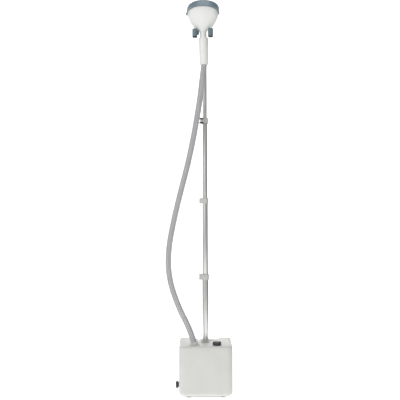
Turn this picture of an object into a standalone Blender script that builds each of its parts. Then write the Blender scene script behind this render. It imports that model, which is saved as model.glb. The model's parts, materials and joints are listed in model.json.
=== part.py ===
"""Upright garment steamer: a rounded base with a boiler and a lift-out tank, a telescopic mast with
three clamps, a forked cradle, a handset with a wide steam head, and the hose between base and handset.

Metres, +Z up. The origin is on the floor below the mast. -Y is the front of the machine.
"""

import math

import bmesh
import bpy
from mathutils import Matrix, Vector

GAP = 0.0003

# Base
BASE_WIDTH = 0.210
BASE_DEPTH = 0.205
DECK_Z = 0.203
SOLE_Z = 0.006
WALL = 0.0026
CORNER = 0.024
SOLE_ROUND = 0.020
RIM_ROUND = 0.0095
PLATE_LOW = 0.003
PLATE_TOP = 0.0086
FOOT_SPREAD = (0.066, 0.064)
SCREW_SPREAD = (0.074, 0.040)

# Boiler, drain and switch
BOILER = Vector((-0.043, -0.063, 0.0))
BOILER_RADIUS = 0.032
DRAIN_Z = 0.048
DRAIN_BORE = 0.005
KNOB = Vector((0.044, -0.070, 0.0))
KNOB_RADIUS = 0.017
KNOB_HEIGHT = 0.013

# Lift-out tank: its outline widens from behind the mast to the back wall
TANK_FRONT = 0.024
TANK_BACK = 0.1022
TANK_LEFT = (-0.024, -0.044)
TANK_RIGHT = (0.026, 0.064)
TANK_LOW = 0.044
TANK_TOP = 0.196
BAY_FLOOR = 0.027
TANK_WALL = 0.0025
VALVE = Vector((0.010, 0.064, 0.0))
VALVE_SLOT = 0.0527

# Mast
TUBE_RADII = (0.0125, 0.0110, 0.0095, 0.0080)
TUBE_WALL = 0.0010
TUBE_SPANS = ((0.061, 0.466), (0.393, 0.770), (0.693, 1.088), (1.010, 1.438))
CLAMP_Z = (0.463, 0.767, 1.086)
CLAMP_HEIGHTS = (0.024, 0.022, 0.024)
CLAMP_TURNS = (0.0, 0.0, 24.0)
COLLAR_FINISHES = ("clamp_grey", "clamp_grey", "charcoal")
SOCKET_RADIUS = 0.0155

# Cradle and handset, drawn about an upright axis in front of the mast, then turned about the mast
CRADLE_TURN = -7.0
HANDSET_Y = -0.045
HANDSET_LEAN = -1.0
NECK_Z = 1.428
PRONG_X = 0.0310
PRONG_Y = -0.0640
PRONG_RADIUS = 0.0102
PRONG_SPAN = (1.4105, 1.4415)
ARM_HALF = 0.0065
LIP_X = 0.0156
LIP_Y = -0.0490
LIP_HALF = 0.0060
LIP_SPAN = (1.4205, 1.4370)
HANDLE_LOW = 1.306
SHELL_WALL = 0.0024
HEAD_Z = 1.503
HEAD_TILT = 28.0
# Shell sections from the handle's end to the head's rim: height, half width, half depth, tilt
SHELL = (
    (HANDLE_LOW, 0.0177, 0.0172, 0.0),
    (1.340, 0.0181, 0.0175, 0.0),
    (1.380, 0.0189, 0.0182, 0.0),
    (1.402, 0.0194, 0.0186, 0.0),
    (1.408, 0.0183, 0.0176, 0.0),
    (1.412, 0.0138, 0.0140, 0.0),
    (1.430, 0.0136, 0.0140, 0.0),
    (1.440, 0.0225, 0.0150, 6.0),
    (1.449, 0.0360, 0.0185, 12.0),
    (1.460, 0.0437, 0.0235, 18.0),
    (1.475, 0.0522, 0.0315, 23.0),
    (1.490, 0.0585, 0.0395, 26.0),
    (HEAD_Z, 0.0615, 0.0460, HEAD_TILT),
)
# Bonnet section round the head's rim: half width, half depth, height above the rim
BONNET = (
    (0.0670, 0.0515, -0.003),
    (0.0655, 0.0500, 0.005),
    (0.0648, 0.0492, 0.024),
    (0.0630, 0.0474, 0.030),
    (0.0600, 0.0444, 0.033),
    (0.0578, 0.0424, 0.033),
    (0.0578, 0.0424, 0.0265),
    (0.0500, 0.0346, 0.0265),
    (0.0500, 0.0346, 0.0225),
    (0.0620, 0.0464, 0.020),
    (0.0632, 0.0476, -0.003),
)
HOLE_RING = (0.038, 0.024)

# Hose, from the collar on the deck to the handle's end
HOSE_RADIUS = 0.012
HOSE_LEAN = 17.0
HOSE_STEPS = 56
HOSE_ROUTE = (
    (-0.0430, -0.063, 0.201),
    (-0.0460, -0.063, 0.211),
    (-0.0525, -0.063, 0.232),
    (-0.0630, -0.063, 0.262),
    (-0.0770, -0.063, 0.293),
    (-0.0920, -0.062, 0.323),
    (-0.1060, -0.062, 0.355),
    (-0.1180, -0.061, 0.386),
    (-0.1290, -0.060, 0.418),
    (-0.1370, -0.060, 0.449),
    (-0.1425, -0.059, 0.481),
    (-0.1450, -0.059, 0.512),
    (-0.1450, -0.058, 0.543),
    (-0.1430, -0.058, 0.574),
    (-0.1395, -0.057, 0.606),
    (-0.1340, -0.057, 0.637),
    (-0.1210, -0.055, 0.700),
    (-0.1065, -0.054, 0.762),
    (-0.0905, -0.053, 0.825),
    (-0.0740, -0.052, 0.888),
    (-0.0590, -0.051, 0.951),
    (-0.0460, -0.050, 1.014),
    (-0.0345, -0.049, 1.077),
    (-0.0240, -0.048, 1.140),
    (-0.0150, -0.047, 1.203),
    (-0.0085, -0.046, 1.258),
    (-0.0048, -0.045, 1.284),
    (-0.0034, -0.045, 1.300),
    (-0.0035, -0.045, 1.312),
)

FINISHES = {
    "white_shell": ((0.68, 0.68, 0.64), 0.42, 0.0),
    "slate": ((0.09, 0.14, 0.17), 0.45, 0.0),
    "charcoal": ((0.035, 0.045, 0.055), 0.50, 0.0),
    "clamp_grey": ((0.48, 0.49, 0.47), 0.45, 0.0),
    "sole_grey": ((0.20, 0.20, 0.20), 0.60, 0.0),
    "tank_smoke": ((0.50, 0.56, 0.60), 0.20, 0.0),
    "rubber": ((0.02, 0.02, 0.02), 0.80, 0.0),
    "steel": ((0.60, 0.59, 0.58), 0.25, 1.0),
    "cast_alloy": ((0.55, 0.55, 0.56), 0.50, 1.0),
    "silicone": ((0.72, 0.70, 0.66), 0.60, 0.0),
    "hose_braid": ((0.62, 0.62, 0.64), 0.85, 0.0),
}


# --- scene, materials and modifiers -----------------------------------------------------------


def clear_scene():
    for thing in list(bpy.data.objects):
        bpy.data.objects.remove(thing, do_unlink=True)


def collection(name, hidden=False):
    group = bpy.data.collections.new(name)
    bpy.context.scene.collection.children.link(group)
    group.hide_render = hidden
    return group


clear_scene()
PARTS = collection("garment_steamer")
CUTTERS = collection("cutters", hidden=True)


def paint(thing, finish):
    colour, roughness, metallic = FINISHES[finish]
    material = bpy.data.materials.new(thing.name)
    material.use_nodes = True
    shader = material.node_tree.nodes["Principled BSDF"]
    shader.inputs["Base Color"].default_value = (*colour, 1.0)
    shader.inputs["Roughness"].default_value = roughness
    shader.inputs["Metallic"].default_value = metallic
    thing.data.materials.append(material)


def place(name, data, finish):
    """Puts a part in the steamer's collection, or a cutter, which has no finish, in the other."""
    thing = bpy.data.objects.new(name, data)
    if finish is None:
        CUTTERS.objects.link(thing)
        thing.hide_render = True
        thing.display_type = "WIRE"
    else:
        PARTS.objects.link(thing)
        paint(thing, finish)
    return thing


def mesh_from(form, name):
    mesh = bpy.data.meshes.new(name)
    bmesh.ops.recalc_face_normals(form, faces=form.faces)
    form.to_mesh(mesh)
    form.free()
    mesh.shade_smooth()
    mesh.set_sharp_from_angle(angle=math.radians(35))
    return mesh


def boolean(thing, other, operation):
    step = thing.modifiers.new(f"{operation.lower()}_{other.name}", "BOOLEAN")
    step.operation = operation
    step.object = other
    return thing


def cut(thing, *cutters):
    for cutter in cutters:
        boolean(thing, cutter, "DIFFERENCE")
    return thing


def join(thing, *others):
    for other in others:
        boolean(thing, other, "UNION")
    return thing


# --- basic shapes -----------------------------------------------------------------------------


def bevel(form, edges, radius, steps):
    if radius:
        bmesh.ops.bevel(
            form, geom=edges, offset=radius, segments=steps, profile=0.5, affect="EDGES"
        )


def level_edges(form, z):
    return [e for e in form.edges if all(abs(v.co.z - z) < 1e-6 for v in e.verts)]


def upright_edges(form):
    return [e for e in form.edges if abs(e.verts[0].co.z - e.verts[1].co.z) > 1e-6]


def block(name, finish, low, high, corner=0.0, bottom=0.0, top=0.0, steps=3, outline=None):
    """A box between two corners, with its upright, lower and upper edges rounded.

    outline gives the four plan corners of a box whose sides aren't square, back left first.
    """
    low, high = Vector(low), Vector(high)
    centre = (low + high) / 2
    size = high - low
    form = bmesh.new()
    bmesh.ops.create_cube(form, size=1.0, matrix=Matrix.Diagonal((*size, 1.0)))
    if outline:
        for vert in form.verts:
            index = (1 if vert.co.x > 0 else 0) + (2 if vert.co.y < 0 else 0)
            vert.co.x = outline[index][0] - centre.x
            vert.co.y = outline[index][1] - centre.y
    bevel(form, upright_edges(form), corner, steps)
    bevel(form, level_edges(form, -size.z / 2), bottom, steps)
    bevel(form, level_edges(form, size.z / 2), top, steps)
    thing = place(name, mesh_from(form, name), finish)
    thing.location = centre
    return thing


def cylinder(name, finish, radius, base, length, steps=24, axis="Z"):
    """A plain cylinder from its base point along +X, +Y or +Z."""
    turn = {"Z": Matrix(), "X": Matrix.Rotation(math.pi / 2, 4, "Y")}
    turn["Y"] = Matrix.Rotation(-math.pi / 2, 4, "X")
    form = bmesh.new()
    bmesh.ops.create_cone(
        form, cap_ends=True, segments=steps, radius1=radius, radius2=radius, depth=length
    )
    bmesh.ops.translate(form, verts=form.verts, vec=(0, 0, length / 2))
    bmesh.ops.transform(form, verts=form.verts, matrix=turn[axis])
    thing = place(name, mesh_from(form, name), finish)
    thing.location = base
    return thing


def turned(name, finish, profile, centre=(0, 0, 0), steps=20, ring=True):
    """Turns a (radius, height) profile about Z, running top to bottom down its outer side.

    A ring closes its profile on itself; any other profile starts and ends on the axis.
    """
    mesh = bpy.data.meshes.new(name)
    points = [(radius, 0.0, height) for radius, height in profile]
    edges = [(i, i + 1) for i in range(len(points) - 1)]
    if ring:
        edges.append((len(points) - 1, 0))
    mesh.from_pydata(points, edges, [])
    thing = place(name, mesh, finish)
    thing.location = centre
    screw = thing.modifiers.new("turn", "SCREW")
    screw.steps = screw.render_steps = steps
    screw.use_merge_vertices = True
    screw.merge_threshold = 1e-6
    screw.use_smooth_shade = True
    return thing


def pipe_ring(name, finish, outer, inner, z_low, z_high, centre=(0, 0, 0), steps=24):
    profile = [(outer, z_high), (outer, z_low), (inner, z_low), (inner, z_high)]
    return turned(name, finish, profile, centre, steps)


def bent_tube(name, finish, points, radius, resolution=2):
    """A round bar along a line of points, with filled ends."""
    curve = bpy.data.curves.new(name, "CURVE")
    curve.dimensions = "3D"
    curve.bevel_depth = radius
    curve.bevel_resolution = resolution
    curve.use_fill_caps = True
    spline = curve.splines.new("POLY")
    spline.points.add(len(points) - 1)
    for slot, point in zip(spline.points, points, strict=True):
        slot.co = (*point, 1.0)
    spline.use_smooth = True
    return place(name, curve, finish)


def smooth_route(route, steps):
    """Points at even spacing along a Catmull-Rom curve through the route's points."""
    knots = [Vector(p) for p in route]
    knots = [2 * knots[0] - knots[1], *knots, 2 * knots[-1] - knots[-2]]
    fine = []
    for a, b, c, d in zip(knots, knots[1:], knots[2:], knots[3:], strict=False):
        for i in range(24):
            t = i / 24
            fine.append(
                0.5
                * (
                    2 * b
                    + (c - a) * t
                    + (2 * a - 5 * b + 4 * c - d) * t**2
                    + (3 * b - a - 3 * c + d) * t**3
                )
            )
    fine.append(knots[-2])
    run = [0.0]
    for p, q in zip(fine, fine[1:], strict=False):
        run.append(run[-1] + (q - p).length)
    points, k = [], 0
    for i in range(steps + 1):
        at = run[-1] * i / steps
        while k < len(run) - 2 and run[k + 1] < at:
            k += 1
        share = (at - run[k]) / (run[k + 1] - run[k])
        points.append(fine[k].lerp(fine[k + 1], share))
    return points


def loft(name, finish, sections, steps=20, ring=False):
    """Joins elliptical sections (centre height, half width, half depth, tilt, rise along the tilt).

    A tilted section leans back: its far side (+Y) is lower than its near side. A ring joins its
    last section to its first; any other loft is capped at both ends.
    """
    form = bmesh.new()
    rows = []
    for height, wide, deep, tilt, rise in sections:
        sine, cosine = math.sin(math.radians(tilt)), math.cos(math.radians(tilt))
        row = []
        for i in range(steps):
            angle = 2 * math.pi * i / steps
            x, v = wide * math.cos(angle), deep * math.sin(angle)
            row.append(
                form.verts.new((x, v * cosine + rise * sine, height - v * sine + rise * cosine))
            )
        rows.append(row)
    pairs = list(zip(rows, rows[1:], strict=False))
    if ring:
        pairs.append((rows[-1], rows[0]))
    for one, two in pairs:
        for i in range(steps):
            j = (i + 1) % steps
            form.faces.new((one[i], one[j], two[j], two[i]))
    if not ring:
        form.faces.new(rows[0])
        form.faces.new(rows[-1])
    # The quads are not flat, so they are split before any Boolean cuts them
    bmesh.ops.triangulate(form, faces=form.faces[:])
    return place(name, mesh_from(form, name), finish)


# --- base -------------------------------------------------------------------------------------


def tank_outline(grow, back):
    """The tank's four plan corners, pushed out by grow, with its back at the given y."""
    front = TANK_FRONT - grow
    run = TANK_BACK - TANK_FRONT
    corners = {}
    for side, (near, far) in (("left", TANK_LEFT), ("right", TANK_RIGHT)):
        slope = (far - near) / run
        push = grow * math.hypot(1.0, slope) * (-1 if side == "left" else 1)
        for y in (back, front):
            corners[side, y] = (near + slope * (y - TANK_FRONT) + push, y)
    return [corners[side, y] for y in (back, front) for side in ("left", "right")]


def tank_form(name, finish, grow, back, z_low, z_high, corner=0.008, **rounds):
    outline = tank_outline(grow, back)
    xs, ys = zip(*outline, strict=True)
    low, high = (min(xs), min(ys), z_low), (max(xs), max(ys), z_high)
    return block(name, finish, low, high, corner=corner, outline=outline, **rounds)


def around(spread):
    """The four corners at plus and minus a spread in x and y."""
    x, y = spread
    return [(-x, -y), (x, -y), (-x, y), (x, y)]


def tank_passage():
    return tank_form("cut_passage", None, 2 * GAP, 0.130, BAY_FLOOR, 0.260, corner=0.0085)


def base_housing(passage):
    half_x, half_y = BASE_WIDTH / 2, BASE_DEPTH / 2
    housing = block(
        "base_housing",
        "white_shell",
        (-half_x, -half_y, SOLE_Z),
        (half_x, half_y, DECK_Z),
        corner=CORNER,
        bottom=SOLE_ROUND,
        top=RIM_ROUND,
    )
    hollow = block(
        "cut_hollow",
        None,
        (WALL - half_x, WALL - half_y, SOLE_Z + WALL),
        (half_x - WALL, half_y - WALL, DECK_Z - WALL),
        corner=CORNER - WALL,
        bottom=SOLE_ROUND - WALL,
        top=RIM_ROUND - WALL,
    )
    cut(housing, hollow)
    for i, (x, y) in enumerate(around(SCREW_SPREAD)):
        side = math.copysign(1.0, x)
        near, far = sorted((x - side * 0.008, side * 0.100))
        boss = block(f"boss_{i}", None, (near, y - 0.006, 0.014), (far, y + 0.006, 0.030))
        join(housing, boss)
    deck_hole = block(
        "cut_deck", None, (-0.094, -0.0915, 0.150), (0.094, 0.0915, 0.230), corner=0.014
    )
    sole_hole = block(
        "cut_sole", None, (-0.082, -0.0795, -0.010), (0.082, 0.0795, 0.0120), corner=0.006
    )
    drain_hole = cylinder("cut_drain", None, 0.0084, (-0.130, BOILER.y, DRAIN_Z), 0.040, axis="X")
    gland_hole = cylinder("cut_gland", None, 0.0073, (-0.066, 0.090, 0.045), 0.030, axis="Y")
    cut(housing, deck_hole, sole_hole, drain_hole, gland_hole, passage)
    for i, (x, y) in enumerate(around(SCREW_SPREAD)):
        cut(housing, cylinder(f"cut_pilot_{i}", None, 0.0021, (x, y, 0.010), 0.030, steps=8))
    return housing


def top_deck(passage):
    deck = block(
        "top_deck", "white_shell", (-0.0952, -0.0927, 0.1975), (0.0952, 0.0927, 0.2001), corner=0.0149
    )
    panel = block(
        "deck_panel", None, (-0.0937, -0.0912, 0.1990), (0.0937, 0.0912, 0.2028), corner=0.0137
    )
    join(deck, panel)
    socket_hole = cylinder("cut_socket", None, SOCKET_RADIUS + 0.0004, (0, 0, 0.190), 0.030)
    hose_hole = cylinder("cut_collar", None, 0.0175, (-0.0425, BOILER.y, 0.190), 0.030)
    shaft_hole = cylinder("cut_shaft", None, 0.0036, (KNOB.x, KNOB.y, 0.190), 0.030, steps=16)
    return cut(deck, socket_hole, hose_hole, shaft_hole, passage)


def bottom_plate():
    plate = block(
        "bottom_plate",
        "sole_grey",
        (-0.0817, -0.0792, PLATE_LOW),
        (0.0817, 0.0792, PLATE_TOP),
        corner=0.0057,
        bottom=0.001,
        steps=3,
    )
    for i, (x, y) in enumerate(around(FOOT_SPREAD)):
        cut(plate, cylinder(f"cut_foot_{i}", None, 0.0044, (x, y, -0.001), 0.020, steps=12))
    for i, (x, y) in enumerate(around(SCREW_SPREAD)):
        head = cylinder(f"cut_head_{i}", None, 0.0042, (x, y, -0.001), 0.0068, steps=10)
        shank = cylinder(f"cut_shank_{i}", None, 0.0022, (x, y, -0.001), 0.020, steps=8)
        cut(plate, head, shank)
    return plate


def feet():
    profile = [(0, 0.0078), (0.0040, 0.0078), (0.0040, 0.0026), (0.0100, 0.0026)]
    profile += [(0.0100, 0.0008), (0.0092, 0.0), (0, 0.0)]
    for i, (x, y) in enumerate(around(FOOT_SPREAD)):
        turned(f"foot_{i + 1}", "rubber", profile, (x, y, 0), steps=12, ring=False)


def base_screws():
    profile = [(0, 0.0260), (0.0018, 0.0250), (0.0018, 0.0054), (0.0037, 0.0054)]
    profile += [(0.0037, 0.0038), (0.0030, 0.0034), (0, 0.0034)]
    for i, (x, y) in enumerate(around(SCREW_SPREAD)):
        turned(f"base_screw_{i + 1}", "steel", profile, (x, y, 0), steps=8, ring=False)


def pole_socket():
    """The blind tube that the lowest mast tube stands in, with a flange on the deck."""
    bore = TUBE_RADII[0] + GAP
    profile = [(0, 0.0600), (bore, 0.0600), (bore, 0.2062), (0.0166, 0.2062), (0.0178, 0.2050)]
    profile += [(0.0178, 0.2031), (SOCKET_RADIUS, 0.2031), (SOCKET_RADIUS, 0.0560), (0, 0.0560)]
    turned("pole_socket", "white_shell", profile, steps=24, ring=False)


def hose_collar():
    """The deck ring that the hose leaves through, its upper part leaning with the hose."""
    start = Vector(HOSE_ROUTE[0])
    lean = Matrix.Rotation(math.radians(-HOSE_LEAN), 4, "Y")
    collar = turned(
        "hose_collar",
        "white_shell",
        [(0.0195, 0.2058), (0.0205, 0.2050), (0.0205, 0.2031), (0.0130, 0.2031), (0.0130, 0.2058)],
        (-0.0440, start.y, 0),
        steps=24,
    )
    sleeve = turned(
        "collar_sleeve",
        None,
        [(0.0142, 0.0140), (0.0152, 0.0122), (0.0160, 0.0010), (0.0100, 0.0010), (0.0100, 0.0140)],
        start,
        steps=24,
    )
    sleeve.rotation_euler = lean.to_euler()
    bore = cylinder("cut_hose", None, HOSE_RADIUS + 0.0005, start, 0.060, steps=24)
    bore.matrix_basis = Matrix.Translation(start) @ lean @ Matrix.Translation((0, 0, -0.020))
    return cut(join(collar, sleeve), bore)


def boiler():
    r = BOILER_RADIUS
    cup = [(0, 0.0400), (r - 0.004, 0.0400), (r - 0.004, 0.1100), (r + 0.003, 0.1100)]
    cup += [(r + 0.003, 0.1060), (r, 0.1040), (r, 0.0400), (r - 0.003, 0.0360), (0, 0.0360)]
    turned("boiler_body", "cast_alloy", cup, BOILER, ring=False)
    lid = [(0.0060, 0.1360), (0.0060, 0.1215), (0.0290, 0.1200), (r, 0.1143), (r + 0.003, 0.1143)]
    lid += [(r + 0.003, 0.1103), (0.0035, 0.1103), (0.0035, 0.1360)]
    turned("boiler_cover", "cast_alloy", lid, BOILER)
    pipe_ring("steam_pipe", "silicone", 0.0080, 0.0063, 0.1240, 0.1940, BOILER, steps=16)
    sweep = [math.radians(25 + 310 * i / 16) for i in range(17)]
    coil = [(BOILER.x + 0.022 * math.cos(a), BOILER.y + 0.022 * math.sin(a), 0.0300) for a in sweep]
    bent_tube("heating_element", "steel", coil, 0.004)
    dome = [(0, 0.1300), (0.0055, 0.1300), (0.0055, 0.1250), (0.0075, 0.1250), (0.0075, 0.1218)]
    dome += [(0, 0.1218)]
    at = BOILER + Vector((0.0175, 0.0, 0.0))
    turned("thermostat", "charcoal", dome, at, steps=16, ring=False)
    pill = [(0, 0.1330), (0.0028, 0.1320), (0.0028, 0.1226), (0, 0.1218)]
    at = BOILER + Vector((-0.010, 0.014, 0.0))
    turned("thermal_fuse", "silicone", pill, at, steps=12, ring=False)


def feed_pipe():
    """Water line from the bay's outlet, under the mast socket, to the boiler's side."""
    wall = BOILER.x + BOILER_RADIUS
    route = [
        (0.0260, 0.0640, 0.0216),
        (0.0260, 0.0639, 0.0190),
        (0.0250, 0.0590, 0.0155),
        (0.0200, 0.0440, 0.0145),
        (0.0120, 0.0200, 0.0150),
        (0.0080, -0.0150, 0.0180),
        (0.0080, -0.0450, 0.0340),
        (0.0040, -0.0590, 0.0480),
        (wall + 0.0080, -0.0630, 0.0540),
        (wall + 0.0008, -0.0630, 0.0545),
    ]
    bent_tube("feed_pipe", "silicone", smooth_route(route, 18), 0.0042)


def switch_and_knob():
    switch = block(
        "rotary_switch",
        "charcoal",
        (KNOB.x - 0.016, KNOB.y - 0.016, 0.168),
        (KNOB.x + 0.016, KNOB.y + 0.016, 0.192),
        corner=0.003,
        steps=2,
    )
    cut(switch, cylinder("cut_spindle", None, 0.0034, (KNOB.x, KNOB.y, 0.176), 0.040, steps=16))
    cylinder("switch_spindle", "steel", 0.0029, (KNOB.x, KNOB.y, 0.1785), 0.032, 16)
    low, high = 0.2036, 0.2036 + KNOB_HEIGHT
    r = KNOB_RADIUS
    profile = [(0, high), (r - 0.004, high), (r - 0.0012, high - 0.0012), (r - 0.0004, high - 0.004)]
    profile += [(r, low + 0.0004), (r - 0.0004, low), (0, low)]
    knob = turned("control_knob", "charcoal", profile, KNOB, steps=24, ring=False)
    pointer = block(
        "knob_pointer",
        None,
        (KNOB.x - 0.0011, KNOB.y - 0.0150, high - 0.002),
        (KNOB.x + 0.0011, KNOB.y - 0.0020, high + 0.0008),
    )
    socket = cylinder("cut_knob_bore", None, 0.0033, (KNOB.x, KNOB.y, 0.190), 0.0212, steps=16)
    cut(join(knob, pointer), socket)


def drain():
    """Pipe from the boiler's side to the left wall, closed by a screwed cap with its seal."""
    wall = BOILER.x - BOILER_RADIUS
    bore, half = DRAIN_BORE, BASE_WIDTH / 2
    at = (0, BOILER.y, DRAIN_Z)
    pipe = [(0.0080, half - 0.0002), (0.0080, -wall + 0.0004), (bore, -wall + 0.0004)]
    pipe += [(bore, half - 0.0002)]
    seal = [(0.0092, half + 0.0020), (0.0092, half + 0.0003), (bore, half + 0.0003)]
    seal += [(bore, half + 0.0020)]
    cap = [(0, half + 0.0128), (0.0098, half + 0.0128), (0.0124, half + 0.0112)]
    cap += [(0.0136, half + 0.0080), (0.0136, half + 0.0030), (0.0130, half + 0.0023)]
    cap += [(0.0046, half + 0.0023), (0.0046, half - 0.0110), (0.0036, half - 0.0125)]
    cap += [(0, half - 0.0125)]
    pieces = [
        turned("drain_pipe", "silicone", pipe, at, steps=20),
        turned("drain_seal", "rubber", seal, at, steps=20),
        turned("drain_cap", "charcoal", cap, at, steps=20, ring=False),
    ]
    for piece in pieces:
        piece.rotation_euler = (0, -math.pi / 2, 0)


def mains_gland():
    profile = [(0.0085, 0.0078), (0.0100, 0.0060), (0.0100, 0.0003), (0.0070, 0.0003)]
    profile += [(0.0070, -0.0080), (0.0038, -0.0080), (0.0038, 0.0078)]
    gland = turned("mains_gland", "charcoal", profile, (-0.066, BASE_DEPTH / 2, 0.045), steps=20)
    gland.rotation_euler = (-math.pi / 2, 0, 0)


def tank_bay():
    """The open-backed well that the tank drops into, with the valve's outlet in its floor."""
    back = BASE_DEPTH / 2 - WALL - 0.0016
    bay = tank_form("tank_bay", "white_shell", 0.0028, back, BAY_FLOOR - 0.003, 0.1972, corner=0.0)
    inside = tank_form("cut_bay", None, 2 * GAP, 0.130, BAY_FLOOR, 0.260, corner=0.0)
    outlet = cylinder("cut_outlet", None, 0.0036, (0.026, 0.064, 0.010), 0.030, steps=12)
    return cut(bay, inside, outlet)


def water_tank():
    tank = tank_form(
        "water_tank", "tank_smoke", 0.0, TANK_BACK, TANK_LOW, TANK_TOP, top=0.002, steps=3
    )
    hollow = tank_form(
        "cut_tank",
        None,
        -TANK_WALL,
        TANK_BACK - TANK_WALL,
        TANK_LOW + TANK_WALL,
        TANK_TOP - TANK_WALL,
        corner=0.0055,
        steps=3,
    )
    well_low, well_high = Vector((-0.018, 0.050, 0.172)), Vector((0.042, 0.086, 0.220))
    wall = Vector((TANK_WALL,) * 3)
    well_wall = block("well_wall", None, well_low - wall, well_high + wall, corner=0.0085, steps=3)
    well = block("cut_well", None, well_low, well_high, corner=0.006, steps=3)
    cut(hollow, well_wall)
    grip = block("grip", None, (-0.020, 0.0625, 0.1865), (0.044, 0.0735, 0.1945))
    neck = pipe_ring("tank_neck", None, 0.0150, 0.0115, 0.0360, 0.0560, VALVE)
    slot = cylinder("cut_neck", None, 0.0115, (VALVE.x, VALVE.y, 0.030), 0.022)
    bar = block(
        "neck_bar",
        None,
        (VALVE.x - 0.0130, VALVE.y - 0.002, VALVE_SLOT),
        (VALVE.x + 0.0130, VALVE.y + 0.002, VALVE_SLOT + 0.0028),
    )
    cut(tank, hollow, well)
    join(tank, grip, neck)
    cut(tank, slot)
    return join(tank, bar)


def tank_valve():
    """Screwed cap under the tank, and the sprung plunger that the bay's floor holds open."""
    cap = [(0.0190, 0.0434), (0.0190, 0.0310), (0.0180, 0.0300), (0.0055, 0.0300)]
    cap += [(0.0055, 0.0330), (0.0154, 0.0330), (0.0154, 0.0434)]
    turned("tank_valve_cap", "charcoal", cap, VALVE)
    plunger = [(0, 0.0460), (0.0030, 0.0460), (0.0030, 0.0400), (0.0085, 0.0400), (0.0085, 0.0380)]
    plunger += [(0.0025, 0.0380), (0.0025, 0.0274), (0, 0.0274)]
    turned("tank_valve_plunger", "clamp_grey", plunger, VALVE, steps=16, ring=False)
    pipe_ring("tank_valve_seal", "rubber", 0.0088, 0.0060, 0.0362, 0.0377, VALVE, steps=16)
    turns, around_turn, low, high = 4, 8, 0.0411, VALVE_SLOT - 0.0011
    count = turns * around_turn
    coil = []
    for i in range(count + 1):
        angle = 2 * math.pi * i / around_turn
        height = low + (high - low) * i / count
        x, y = VALVE.x + 0.0050 * math.cos(angle), VALVE.y + 0.0050 * math.sin(angle)
        coil.append((x, y, height))
    bent_tube("tank_valve_spring", "steel", coil, 0.0005, resolution=1)


# --- mast -------------------------------------------------------------------------------------


def mast():
    for i, (radius, span) in enumerate(zip(TUBE_RADII, TUBE_SPANS, strict=True)):
        inner = radius - TUBE_WALL
        pipe_ring(f"mast_tube_{i + 1}", "steel", radius, inner, *span, steps=24)


def lever_arc(inner, outer, start, end, steps):
    """Plan outline of a curved plate about the tube, between two bearings."""
    bearings = [math.radians(start + (end - start) * i / steps) for i in range(steps + 1)]
    rim = [(outer * math.cos(a), outer * math.sin(a)) for a in bearings]
    return rim + [(inner * math.cos(a), inner * math.sin(a)) for a in reversed(bearings)]


def plate(name, finish, outline, z_low, z_high):
    """A flat outline given a thickness."""
    form = bmesh.new()
    face = form.faces.new([form.verts.new((x, y, z_low)) for x, y in outline])
    walls = bmesh.ops.extrude_face_region(form, geom=[face])
    lifted = [g for g in walls["geom"] if isinstance(g, bmesh.types.BMVert)]
    bmesh.ops.translate(form, verts=lifted, vec=(0, 0, z_high - z_low))
    return place(name, mesh_from(form, name), finish)


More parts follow.
